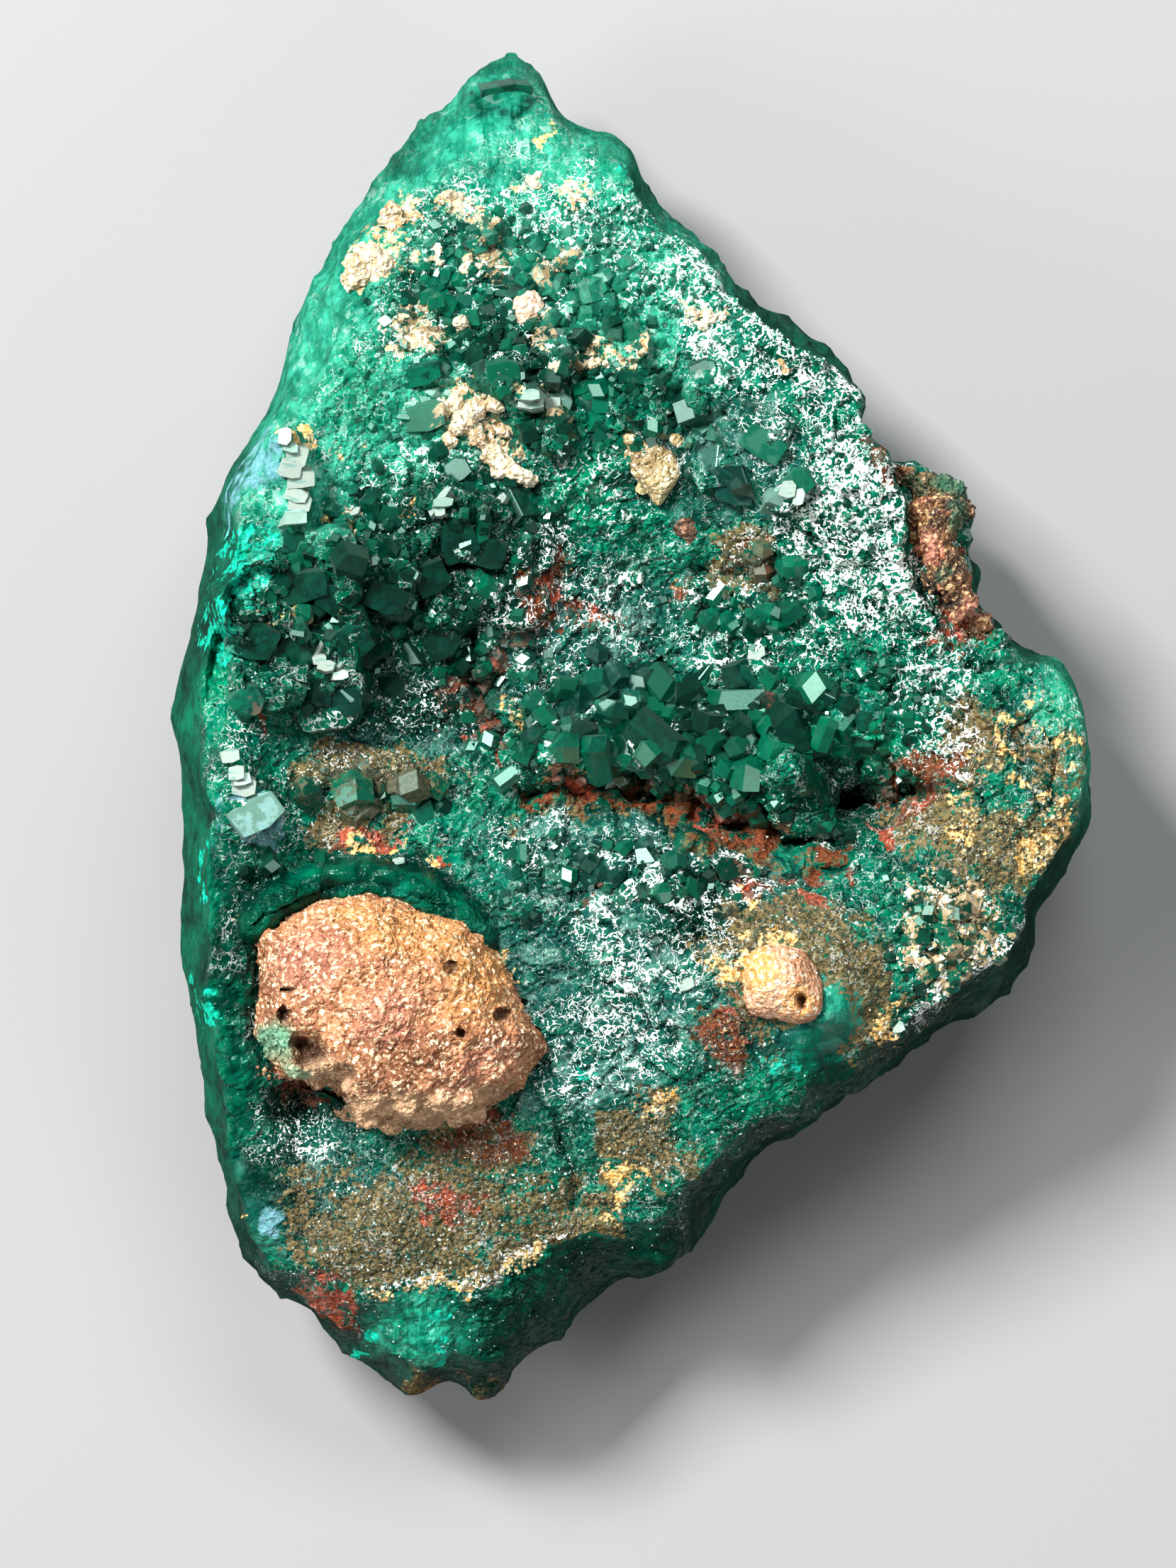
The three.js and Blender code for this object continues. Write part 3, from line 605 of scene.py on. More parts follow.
def placeAndSeams(x, y, name):
    mask = patchMask(x, y, stainPlaces[name])
    for line, halfWidth in seamPlaces.get(name, []):
        seam = 1.0 - smoothStep(0.4, 1.6, lineDistance(x, y, line) / halfWidth)
        mask = np.maximum(mask, seam * smoothStep(-0.7, 0.1, waves(x, y, 0.9, 4)))
    return mask


def writePlaces(mesh, upward=None):
    # every named place becomes a mask on the mesh, so that crystals and slab take the same stains
    coords = coordsOf(mesh)
    flatX, flatY, z = coords.T
    x = flatX + shaken(flatX, flatY, (1, 3, 4))
    y = flatY + shaken(flatX, flatY, (2, 5, 6))
    high = crustGround(coords, x, y)
    # painted light: the mint glass shows more strongly higher up
    lit = 0.2 + 0.8 * smoothStep(*stainLevels["mint"], z + 0.6 * waves(x, y, 1.6, 8))
    sideLevel = z + 0.8 * waves(x, y, 0.9, 13)
    upperSide, lowerSide = (smoothStep(*stainLevels[end], sideLevel) for end in ("upperSide", "lowerSide"))
    onSide = np.where(y > lowerEndsAt, upperSide, lowerSide)
    onTop = high
    if upward is not None:
        onTop = high * upward
        onSide = onSide * (0.35 + 0.65 * upward)
    for name in stainPlaces:
        mask = placeAndSeams(x, y, name)
        if name in topStains:
            mask = mask * onTop
        elif name in sideStains:
            mask = mask * onSide
        elif name == "brownEdge":
            mask = mask * smoothStep(*stainLevels["tip"], z)
        elif name == "paleGlass":
            mask = mask * lit
        if name == "frostVeins" and upward is not None:
            mask = np.maximum(mask, 0.12 * onTop) * smoothStep(0.6, 1.8, lineDistance(x, y, glassyRim))
            mask = mask * smoothStep(0.4, 0.9, lineDistance(x, y, ledgeFoot))
        writeMask(mesh, name, mask)


def writeRelief(mesh):
    # how far each point stands above or below the ground round it, for painted shade in the hollows and
    # painted highlights on the ridges
    height = coordsOf(mesh)[:, 2]
    level = height.copy()
    first, second = edgeEnds(mesh)
    for step in range(14):
        level = 0.5 * level + 0.5 * neighbourMean(level, first, second)
    writeMask(mesh, "hollow", smoothStep(0.02, 0.15, level - height))
    writeMask(mesh, "ridge", smoothStep(0.01, 0.11, height - level))


# Shader groups that several materials share.

def placeMask(tree, name):
    return wireOf(tree, "ShaderNodeAttribute", "Fac", attribute_name=name, attribute_type="GEOMETRY")


def millimetres(tree):
    return vectorOf(wireOf(tree, "ShaderNodeTexCoord", "Object"), "SCALE", 1 / mm)


def warpedBy(vector, scale, amount):
    # a position pushed about by noise
    noise = wireOf(vector.tree, "ShaderNodeTexNoise", 1, {"Vector": vector, "Scale": scale, "Detail": 2.0})
    shift = vectorOf(vectorOf(noise, "SUBTRACT", (0.5, 0.5, 0.5)), "SCALE", amount)
    return vectorOf(vector, "ADD", shift)


stainColours = {
    "rust": paint(136, 68, 38), "rustDark": paint(80, 38, 24),
    "brickRed": paint(184, 84, 58), "brickDark": paint(108, 50, 36),
    "ochre": paint(214, 150, 66), "gold": paint(236, 206, 140),
    "khaki": paint(60, 52, 32), "khakiLight": paint(124, 104, 66),
    "cream": paint(250, 236, 204), "creamTan": paint(212, 168, 116), "frostAndGlint": paint(246, 252, 248),
    "cyan": paint(14, 196, 166), "cyanDeep": paint(6, 146, 120),
    "blue": paint(124, 172, 186), "blueDeep": paint(92, 152, 162),
}
stainLayers = [  # mask, where it begins and is full, its two tones, the noise at its edge, its strength
    ("cyanGlow", 0.4, 0.7, "cyan", "cyanDeep", "broad", 0.95),
    ("blueHaze", 0.0, 0.9, "blue", "blueDeep", "broad", 0.8),
    ("khakiCrust", 0.22, 0.5, "khaki", "khakiLight", "fine", 0.92),
    ("brownEdge", 0.3, 0.7, "rustDark", "khakiLight", "fine", 0.8),
    ("rustStain", 0.42, 0.72, "rust", "rustDark", "fine", 0.94),
    ("brickRed", 0.46, 0.74, "brickRed", "brickDark", "fine", 0.95),
    ("ochreSeam", 0.55, 0.85, "ochre", "gold", "fine", 0.95),
    ("creamCrust", 0.6, 0.8, "cream", "creamTan", "fine", 1.0),
]


def frostCover(vector, edgeNoise):
    # white sugar and painted glints: short bent threads, seams between cells and a few flecks, more on
    # ridges and fewer in hollows
    tree = vector.tree
    place = placeMask(tree, "frostVeins")
    warped = warpedBy(vector, 1.8, 0.6)
    reach = place + 2.2 * (noiseOf(vector, 0.6, 2.0, 0.6) - 0.5)
    reach = reach + 0.3 * placeMask(tree, "ridge") - 0.5 * placeMask(tree, "hollow")
    width = rangeOf(reach, 0.0, 1.2)

    def threads(scale, detail, widest):
        # the lines along which a noise passes through its middle
        distance = (noiseOf(warped, scale, detail, 0.5) - 0.5).by("ABSOLUTE")
        return rangeOf(distance - widest * width, 0.006, 0.0)

    worms = threads(1.7, 2.0, 0.044) * rangeOf(edgeNoise, 0.47, 0.51)
    fineWorms = threads(3.4, 1.5, 0.036) * rangeOf(edgeNoise, 0.51, 0.47)
    seams = rangeOf(bordersOf(warped, 1.25) - 0.045 * width, 0.01, 0.0)
    seams = seams * rangeOf(noiseOf(vector, 2.4, 2.0), 0.45, 0.5)
    flecks = rangeOf(noiseOf(warped, 5.2, 2.0) + 0.05 * width, 0.66, 0.675)
    return highestOf(worms, fineWorms, seams, flecks) * rangeOf(place, 0.02, 0.3)


def buildStainGroup():
    inputs = [("Colour", "Color"), ("Vector", "Vector"), ("Crust", "Float", 1.0), ("Frost", "Float", 1.0)]
    outputs = [("Colour", "Color"), ("Cover", "Float"), ("Frost", "Float")]
    tree, given, sink = groupTree("mineralStains", "ShaderNodeTree", inputs, outputs)
    vector, colour, cover = given["Vector"], given["Colour"], None
    noises = {"broad": noiseOf(vector, 1.7, 3.0, 0.62), "fine": noiseOf(vector, 5.5, 3.0, 0.65)}
    for name, low, high, firstTone, secondTone, edge, strength in stainLayers:
        # the place mask, broken up by noise, lays its tones over the glass
        place = placeMask(tree, name)
        broken = 0.75 * place + 1.7 * (noises[edge] - 0.5) + 2.2 * (noises["broad"] - 0.5)
        mask = rangeOf(broken, low, high, 0.0, strength).by("MULTIPLY", given["Crust"], clamp=True)
        mask = mask * rangeOf(place, 0.02, 0.25)
        speckle = rangeOf(noises["fine"], 0.38, 0.62)
        tone = mixColour(speckle, stainColours[firstTone], stainColours[secondTone])
        colour = mixColour(mask, colour, tone)
        cover = highestOf(cover, mask) if cover else mask
    # the white sugar and painted glints laid over the colour
    frostAndGlint = frostCover(vector, noises["broad"]) * given["Frost"]
    feed(sink, {"Colour": mixColour(frostAndGlint, colour, stainColours["frostAndGlint"]), "Cover": cover, "Frost": frostAndGlint})
    return tree


def buildGrainGroup():
    # surface height in millimetres: small round bumps with finer noise on them
    inputs = [("Vector", "Vector"), ("Bumps", "Float", 0.1), ("Fine", "Float", 0.03)]
    tree, given, sink = groupTree("surfaceGrain", "ShaderNodeTree", inputs, [("Height", "Float")])
    vector = given["Vector"]
    fine = 1.5 * noiseOf(vector, 6.0, 1.0, 0.6) - cellsOf(vector, 4.5)[0]
    feed(sink, {"Height": noiseOf(vector, 1.8, 2.0, 0.6, 0.3) * given["Bumps"] + fine * given["Fine"]})
    return tree


shaderGroups = {"stains": buildStainGroup(), "grain": buildGrainGroup()}


def newMaterial(name):
    material = bpy.data.materials.new(name)
    material.use_nodes = True
    tree = material.node_tree
    tree.nodes.clear()
    surface = putNode(tree, "ShaderNodeBsdfPrincipled")
    output = putNode(tree, "ShaderNodeOutputMaterial", {"Surface": Wire(surface.outputs[0])})
    return material, tree, surface, output


def grainHeight(vector, bumps, fine):
    inputs = {"Vector": vector, "Bumps": bumps, "Fine": fine}
    return wireOf(vector.tree, "ShaderNodeGroup", "Height", inputs, node_tree=shaderGroups["grain"])


def bumpOf(height):
    return wireOf(height.tree, "ShaderNodeBump", 0, {"Strength": 1.0, "Distance": mm, "Height": height})


# Dioptase, from near black to mint. The glassy kinds differ in their crusts, clearness, gloss and bumps,
# and the tinted ones read a tint from each crystal.
glassLook = {
    "ior": 1.66, "roughness": 0.18, "glossTint": (0.62, 1.0, 0.86, 1.0),
    "absorptionColour": paint(0, 170, 122), "absorptionDensity": 1400.0,
    "deep": paint(0, 34, 26), "mid": paint(0, 70, 54), "light": paint(2, 104, 84),
    "bright": paint(0, 128, 92), "mint": paint(4, 112, 86), "mintLight": paint(54, 170, 140),
    # pale is painted: glints in the mint glass and reflections on crystal faces
    "grey": paint(24, 74, 70), "sheen": paint(98, 146, 136), "pale": paint(150, 190, 178),
    "pearl": paint(152, 168, 158), "wall": paint(2, 34, 24),
    "flank": paint(0, 20, 15), "flankLight": paint(0, 78, 56),
}
glassKinds = {
    "massiveDioptase": {
        "crust": 1.0, "frostAndGlint": 1.0, "transmission": 0.05, "gloss": 0.06, "bumps": 0.34, "fine": 0.07,
        "tinted": False},
    "crystalDioptase": {
        "crust": 0.85, "frostAndGlint": 0.0, "transmission": 0.45, "gloss": 0.7, "fine": 0.001, "tinted": True},
    "paleDioptase": {
        "crust": 0.0, "frostAndGlint": 0.0, "transmission": 0.1, "gloss": 0.4, "fine": 0.002, "tinted": True},
}


def glassColour(vector):
    # emerald that runs from near black to mint, by place, by cloud and by facet
    tree, look = vector.tree, glassLook
    names = ("deepGlass", "brightGlass", "paleGlass", "greyGlass", "bareFlank")
    deep, bright, pale, grey, flank = (placeMask(tree, name) for name in names)
    cloud = noiseOf(vector, 0.5, 3.0, 0.62)
    bent = warpedBy(vector, 1.6, 0.35)
    grain = 0.55 * noiseOf(vector, 2.6, 3.0, 0.65) + 0.24 * cellTone(bent, 1.5) + 0.21 * cellTone(bent, 3.8)
    sheen = rangeOf(noiseOf(vector, 0.9, 2.0, 0.7), 0.52, 0.6, 0.0, 0.5)
    # the side walls run in upright streaks
    upright = vectorOf(bent, "MULTIPLY", (1.0, 0.45, 0.2))
    streak = 0.86 * noiseOf(upright, 1.9, 3.0, 0.75) + 0.14 * cellTone(upright, 3.2)
    flankTone = mixColour(rangeOf(streak, 0.32, 0.68), look["flank"], look["flankLight"])
    lit = bright * rangeOf(grain, 0.35, 0.6, 0.35, 1.0) * rangeOf(flank, 0.0, 1.0, 1.0, 0.5)
    # mint glass, in fibres where it is fibrous
    fibres = noiseOf(vectorOf(vector, "MULTIPLY", (3.2, 0.35, 0.8)), 1.2, 2.0, 0.7)
    fibres = mixColour(placeMask(tree, "fibrous"), streak, fibres)
    mint = laidOver(look["mint"], [
        (rangeOf(fibres, 0.34, 0.66), look["mintLight"]),
        (rangeOf(grain, 0.44, 0.34, 0.0, 0.7), look["light"]),
        # pale specks are painted glints
        (rangeOf(grain, 0.62, 0.7, 0.0, 0.5), look["pale"]),
    ])
    return laidOver(look["mid"], [
        (rangeOf(cloud, 0.36, 0.64), look["light"]),
        (rangeOf(grain, 0.5, 0.68, 0.0, 0.55), look["bright"]),
        (rangeOf(grain, 0.5, 0.32, 0.0, 0.75), look["deep"]),
        (grey * rangeOf(grain, 0.4, 0.6, 0.5, 0.9), look["grey"]),
        (grey * sheen, look["sheen"]),
        (0.85 * deep, look["deep"]),
        # painted shade in the hollows and painted highlights on the ridges
        (0.75 * placeMask(tree, "hollow"), look["deep"]),
        (0.35 * placeMask(tree, "ridge"), look["bright"]),
        (0.8 * flank, flankTone),
        (lit, look["bright"]),
        (pale * rangeOf(cloud, 0.35, 0.6, 0.5, 1.0), mint),
        (deep * rangeOf(grain, 0.36, 0.6, 0.75, 0.35), look["deep"]),
    ])


def tintedGlass(vector, colour):
    # a tint of 0 is dark, over 0.6 bright, over 1 pale as a painted reflection on faces that mirror the
    # light, and over 1.3 nearly white
    tint, look = placeMask(vector.tree, "crystalTint"), glassLook
    lines = noiseOf(vectorOf(vector, "MULTIPLY", (1.0, 5.0, 5.0)), 1.2, 2.0)
    pearl = mixColour(rangeOf(lines, 0.56, 0.64, 0.0, 0.7), look["pearl"], look["sheen"])
    return laidOver(colour, [
        (rangeOf(tint, 0.45, 0.0, 0.0, 0.7), look["deep"]),
        (rangeOf(tint, 0.6, 0.85, 0.0, 0.5), look["bright"]),
        (rangeOf(tint, 1.0, 1.05, 0.0, 0.5), look["pale"]),
        (rangeOf(tint, 1.3, 1.5, 0.0, 1.0), pearl),
    ])


def slabBumps(vector, kind):
    # fine grain, with upright lines in its place where the skin is polished
    polish = placeMask(vector.tree, "polish")
    lines = 0.11 * noiseOf(vectorOf(vector, "MULTIPLY", (3.4, 1.8, 0.3)), 0.9, 2.0, 0.6)
    grain = grainHeight(vector, kind["bumps"], kind["fine"])
    return grain * rangeOf(polish, 0.0, 1.0, 1.0, 0.14) + lines * polish


def glassMaterial(name):
    kind = glassKinds[name]
    material, tree, surface, output = newMaterial(name)
    vector = millimetres(tree)
    colour = glassColour(vector)
    if kind["tinted"]:
        colour = tintedGlass(vector, colour)
        height = kind["fine"] * noiseOf(vector, 5.0, 2.0)
    else:
        # painted shade: the lower walls, turned away from the light, are darkened
        wallShade = placeMask(tree, "dullWall") * rangeOf(noiseOf(vector, 0.35, 3.0), 0.35, 0.6, 0.5, 1.0)
        colour = mixColour(wallShade, colour, glassLook["wall"])
        height = slabBumps(vector, kind)
    inputs = {"Colour": colour, "Vector": vector, "Crust": kind["crust"], "Frost": kind["frostAndGlint"]}
    stains = putNode(tree, "ShaderNodeGroup", inputs, node_tree=shaderGroups["stains"])
    grazing = wireOf(tree, "ShaderNodeLayerWeight", "Facing", {"Blend": 0.5})
    rough = 0.5 * Wire(stains.outputs["Cover"]) + 0.12 * placeMask(tree, "bareFlank")
    rough = rough + glassLook["roughness"] + rangeOf(grazing, 0.5, 0.85, 0.0, 0.8)
    feed(surface, {
        "Base Color": Wire(stains.outputs["Colour"]), "Roughness": rough.by("MINIMUM", 1.0),
        "Transmission Weight": kind["transmission"], "IOR": glassLook["ior"],
        "Specular IOR Level": kind["gloss"], "Specular Tint": glassLook["glossTint"],
        "Normal": bumpOf(height),
    })
    absorption = {"Color": glassLook["absorptionColour"], "Density": glassLook["absorptionDensity"]}
    feed(output, {"Volume": wireOf(tree, "ShaderNodeVolumeAbsorption", 0, absorption)})
    return material


def stoneTones(low, mid, high, spots):
    return {"low": paint(*low), "mid": paint(*mid), "high": paint(*high), "spots": paint(*spots)}


stoneLooks = {
    "tanSand": stoneTones((124, 74, 44), (184, 126, 84), (250, 220, 180), (168, 102, 78)),
    "peachSand": stoneTones((176, 116, 78), (216, 166, 130), (248, 224, 200), (204, 138, 84)),
    "rustyEarth": stoneTones((44, 34, 24), (128, 84, 50), (220, 180, 132), (168, 70, 42)),
    "yellowSand": stoneTones((140, 118, 76), (196, 176, 126), (252, 244, 216), (118, 104, 64)),
    "creamSugar": stoneTones((176, 148, 106), (222, 208, 176), (255, 254, 244), (186, 152, 106)),
    "frostSugar": stoneTones((150, 196, 180), (230, 244, 236), (255, 255, 252), (240, 232, 206)),
    "pinkSugar": stoneTones((186, 126, 94), (236, 200, 172), (255, 242, 226), (146, 84, 54)),
    "brownEarth": stoneTones((36, 26, 20), (78, 52, 36), (170, 130, 98), (112, 50, 30)),
}
stoneBumps = {"bumps": 0.1, "fine": 0.1}
markColours = {
    "pinkPatch": paint(190, 124, 104), "goldPatch": paint(226, 160, 76),
    "turquoisePatch": paint(60, 168, 136), "mossPatch": paint(20, 84, 62), "darkPit": paint(58, 34, 18),
}
fringeDark, fringeLight = paint(120, 80, 54), paint(236, 200, 158)


def stoneMaterial(name):
    look = stoneLooks[name]
    material, tree, surface, output = newMaterial(name)
    vector = millimetres(tree)
    broad = noiseOf(vector, 0.5, 4.0, 0.6)
    grain = noiseOf(vector, 5.2, 4.0, 0.75)
    spots = noiseOf(vector, 1.3, 4.0, 0.6)
    sparkle = cellTone(warpedBy(vector, 4.0, 0.2), 7.5)
    marks = {mark: (placeMask(tree, mark), tone) for mark, tone in markColours.items()}
    colour = laidOver(look["low"], [
        (rangeOf(broad, 0.36, 0.6), look["mid"]),
        (rangeOf(spots, 0.54, 0.68, 0.0, 0.75), look["spots"]),
        marks["pinkPatch"],
        marks["goldPatch"],
        (rangeOf(grain, 0.47, 0.4, 0.0, 0.6), look["low"]),
        (rangeOf(grain, 0.53, 0.64, 0.0, 0.85), look["high"]),
        (rangeOf(sparkle, 0.9, 0.93), look["high"]),
        (placeMask(tree, "fringePatch"), mixColour(grain, fringeDark, fringeLight)),
        marks["turquoisePatch"],
        marks["mossPatch"],
        marks["darkPit"],
    ])
    height = grainHeight(vector, stoneBumps["bumps"], stoneBumps["fine"])
    gloss = rangeOf(sparkle, 0.6, 0.95, 0.7, 0.15)
    feed(surface, {"Base Color": colour, "Roughness": gloss, "Normal": bumpOf(height)})
    return material


glassMaterials = {name: glassMaterial(name) for name in glassKinds}
stoneMaterials = {name: stoneMaterial(name) for name in stoneLooks}
print("materials built")


# The slab: the CAD solid, evened out and then broken up into facets, steps and striations.

slabForm = {
    "voxel": 0.34, "smoothing": 2, "fineAbove": 0.35, "fineOver": 4.6,
    "relief": {
        "Facet Depth": 0.38, "Worm Depth": 0.3, "Plate Depth": 0.26, "Swell Depth": 0.3, "Flank Depth": 0.62,
        "Striation": 0.14, "Grain": 0.05},
}


def namedField(tree, name):
    return wireOf(tree, "GeometryNodeInputNamedAttribute", "Attribute", {"Name": name}, data_type="FLOAT")


def shiftedBy(vector, seed):
    return vectorOf(vector, "ADD", (seed, seed * 0.7, seed * 1.3))


def cellTilt(vector, size, seed, tilt=3.0, level=1.0):
    # height of a slope that leans its own way in each cell, as the faces of broken crystal do
    shifted = shiftedBy(vector, seed)
    distance, colour, middle = cellsOf(shifted, 1.0 / size)
    lean = vectorOf(colour, "SUBTRACT", (0.5, 0.5, 0.5))
    slope = vectorOf(vectorOf(shifted, "SUBTRACT", middle), "DOT_PRODUCT", lean)
    return slope * (tilt / size) + (firstPart(colour) - 0.5) * level


def scoops(vector, size, seed):
    # shallow shells that meet in ridges, as glass breaks
    distance = cellsOf(shiftedBy(vector, seed), 1.0 / size)[0]
    return distance * distance - 0.2


def pushedOut(geometry, height):
    # the surface moved along its normals
    offset = vectorOf(wireOf(height.tree, "GeometryNodeInputNormal", 0), "SCALE", height)
    return wireOf(height.tree, "GeometryNodeSetPosition", 0, {"Geometry": geometry, "Offset": offset})


def buildReliefTree():
    inputs = [("Geometry", "Geometry"), *((label, "Float") for label in slabForm["relief"])]
    tree, given, sink = groupTree("brokenRelief", "GeometryNodeTree", inputs, [("Geometry", "Geometry")])
    position = wireOf(tree, "GeometryNodeInputPosition", 0)
    facets = 0.8 * cellTilt(position, 1.5, 3.0) + 0.45 * cellTilt(position, 0.75, 5.0)
    worms = 1.6 * noiseOf(position, 0.9, 3.0, 0.7, 0.8) + 0.5 * cellTilt(position, 0.8, 9.0)
    cracked = vectorOf(position, "MULTIPLY", (1.0, 1.5, 1.0))
    cracks = rangeOf(bordersOf(cracked, 0.42), 0.0, 0.05, -1.0, 0.0)
    plates = cellTilt(cracked, 2.4, 11.0, 0.9, 0.8) + 0.7 * cracks + 0.5 * noiseOf(position, 1.4)
    swell = (noiseOf(position, 0.28) - 0.5) * (3.0 * given["Swell Depth"])
    top = facets * given["Facet Depth"] * namedField(tree, "facetShare")
    top = top + worms * given["Worm Depth"] * namedField(tree, "wormShare")
    top = top + plates * given["Plate Depth"] * namedField(tree, "plateShare") + swell
    ridges = noiseOf(vectorOf(position, "MULTIPLY", (2.6, 2.6, 0.22)), 0.9, 4.0, 0.65, 0.4) - 0.5
    upright = vectorOf(position, "MULTIPLY", (1.0, 1.0, 0.45))
    side = scoops(upright, 4.2, 7.0) * (2.6 * given["Flank Depth"])
    side = side + scoops(upright, 1.7, 17.0) * given["Flank Depth"] + ridges * (2.6 * given["Striation"])
    side = side * rangeOf(namedField(tree, "smoothSkin"), 0.0, 1.0, 1.0, 0.4)
    grain = (noiseOf(position, 2.4) - 0.5) * given["Grain"]
    grain = grain * rangeOf(namedField(tree, "polish"), 0.0, 1.0, 3.0, 0.5)
    height = top * namedField(tree, "druseCover") + side * namedField(tree, "bareFlank") + grain
    feed(sink, {0: pushedOut(given["Geometry"], height * namedField(tree, "clearOfFoot"))})
    return tree


def refineTop(mesh):
    # the top face gets cells of half the size
    work = bmesh.new()
    work.from_mesh(mesh)
    upright = [face for face in work.faces if face.normal.z > slabForm["fineAbove"]]
    top = [face for face in upright if face.calc_center_median().z > slabForm["fineOver"]]
    edges = list({edge for face in top for edge in face.edges})
    bmesh.ops.subdivide_edges(work, edges=edges, cuts=1, use_grid_fill=True)
    bmesh.ops.triangulate(work, faces=[face for face in work.faces if len(face.verts) > 4])
    axes = {"use_axis_x": True, "use_axis_y": True, "use_axis_z": True}
    bmesh.ops.smooth_vert(work, verts=work.verts, factor=0.5, **axes)
    work.to_mesh(mesh)
    work.free()


def carve(coords, upward):
    # grooves and pits sink into the top face, and the glassy arch stands up from it
    x, y, z = coords.T
    wildX, wildY = x + 0.3 * waves(x, y, 1.0, 21), y + 0.3 * waves(x, y, 1.0, 22)
    uneven = 0.75 + 0.45 * waves(x, y, 0.9, 23)
    for line, halfWidth, depth in grooves:
        z = z - upward * uneven * depth * np.exp(-(lineDistance(wildX, wildY, line) / halfWidth) ** 2)
    for line, halfWidth, rise in rims:
        dome = np.exp(-(lineDistance(x, y, line) / halfWidth) ** 4)
        z = z + upward * rise * (0.95 + 0.15 * waves(x, y, 0.9, 24)) * dome
    for pitX, pitY, radius, depth in pits:
        z = z - upward * depth * np.exp(-(np.hypot(wildX - pitX, wildY - pitY) / radius) ** 3)
    coords[:, 2] = z


smoothSkinPlaces = [
    (-14.5, 10.0, 3.0, 16.0, -14), (-3.6, 23.0, 4.6, 3.2, 0), (16.2, 0.5, 1.8, 4.4, 0),
    (-16, -8, 1.6, 12.0, 6), (-8.6, -23.6, 2.6, 2.4, 0), (7.0, -10.9, 1.9, 1.7, 0),
    (-10.1, -5.2, 4.0, 0.9, 0),
]


def pocketPlaces(coords, nodeName):
    # which points of the slab lie in the pocket under a lump, or close round it
    lump = cadCopy(nodeName, "pocket")
    skin = skinOf(lump)
    low, high = coordsOf(lump).min(0), coordsOf(lump).max(0)
    flat = coords[:, :2]
    near = (flat > low[:2] - 0.6).all(1) & (flat < high[:2] + 0.6).all(1) & (coords[:, 2] > low[2] - 0.9)
    angles = [step * math.pi / 4 for step in range(1, 9)]
    around = [(0.0, 0.0)] + [(0.45 * math.cos(angle), 0.45 * math.sin(angle)) for angle in angles]
    inside = np.zeros(len(coords), dtype=bool)
    for index in np.nonzero(near)[0]:
        x, y = flat[index]
        inside[index] = any(hitBelow(skin, x + sideX, y + sideY) for sideX, sideY in around)
    return inside


def fillPockets(mesh):
    # a smooth skin over the pockets, so that the lumps grow out of the slab without a gap
    coords = coordsOf(mesh)
    allFirst, allSecond = edgeEnds(mesh)
    for nodeName in frame["nodes"]:
        if nodeName == "dioptase_mass":
            continue
        inside = pocketPlaces(coords, nodeName)
        touching = inside[allFirst] | inside[allSecond]
        first, second = allFirst[touching], allSecond[touching]
        ring = np.zeros(len(coords), dtype=bool)
        ring[first] = True
        ring[second] = True
        ring &= ~inside
        if inside.sum() < 4 or ring.sum() < 4:
            continue
        flat = np.column_stack((coords[:, :2], np.ones(len(coords))))
        plane = np.linalg.lstsq(flat[ring], coords[ring, 2], rcond=None)[0]
        coords[inside, 2] = flat[inside] @ plane
        for step in range(60):
            for axis in range(3):
                coords[inside, axis] = neighbourMean(coords[:, axis], first, second)[inside]
    movePoints(mesh, coords)
    mesh.update()


def writeSlabMasks(mesh, coords, normals, upward):
    # where the slab is faceted, worm-like, plated, smooth or dull
    x, y, z = coords.T
    apex = smoothStep(*apexFade, y)
    wobbleX, wobbleY = x + 0.5 * waves(x, y, 2.2, 5), y + 0.5 * waves(x, y, 2.2, 6)
    shares = {name: patchMask(wobbleX, wobbleY, places) for name, places in zonePlaces.items()}
    calm = 1.0 - 0.8 * np.maximum(shares["plateZone"], shares["fineZone"])
    calm = calm * clearOfRims(x, y, 1.0, 1.8) * (1.0 - 0.8 * patchMask(x, y, clearDomes))
    facets = np.maximum(shares["crystalBand"], shares["druseZone"])
    smoothSkin = patchMask(x, y, smoothSkinPlaces)
    below = smoothStep(0.2, -0.8, riseOverEdge(x, y)) * smoothStep(-7.5, -5.5, x)
    masks = {
        "druseCover": upward * (1.0 - 0.8 * apex),
        "bareFlank": 1.0 - upward,
        "clearOfFoot": smoothStep(0.05, 0.6, z),
        "facetShare": np.maximum(facets, 0.25) * calm,
        "wormShare": np.maximum(shares["wormZone"], 0.35) * calm,
        "plateShare": shares["plateZone"],
        "smoothSkin": smoothSkin,
        "polish": np.maximum(np.maximum(smoothSkin, 1.0 - upward), apex),
        # painted shade on the walls and below the lower edge, towards the lower end
        "dullWall": np.maximum(1.0 - upward, below) * smoothStep(-8.0, -14.0, y - 0.4 * x),
    }
    for name, values in masks.items():
        writeMask(mesh, name, values)
    writePlaces(mesh, smoothStep(0.1, 0.5, normals[:, 2]))


def slabMesh():
    mesh = remeshed(cadCopy("dioptase_mass", "slab"), slabForm["voxel"], slabForm["smoothing"])
    refineTop(mesh)
    fillPockets(mesh)
    coords, normals = coordsOf(mesh), normalsOf(mesh)
    upward = smoothStep(0.42, 0.72, normals[:, 2]) * smoothStep(5.0, 7.0, coords[:, 2])
    carve(coords, upward)
    movePoints(mesh, coords)
    writeSlabMasks(mesh, coords, normals, upward)
    result = throughTree(mesh, "slab", buildReliefTree(), slabForm["relief"])
    coords = coordsOf(result)
    coords[:, 2] = np.maximum(coords[:, 2], 0.0)
    movePoints(result, coords)
    writeRelief(result)
    return result


slab = slabMesh()
print("slab shaped:", sum(len(face.vertices) - 2 for face in slab.polygons), "triangles")


# Crystals.

sixths = [i * math.pi / 3 for i in range(6)]


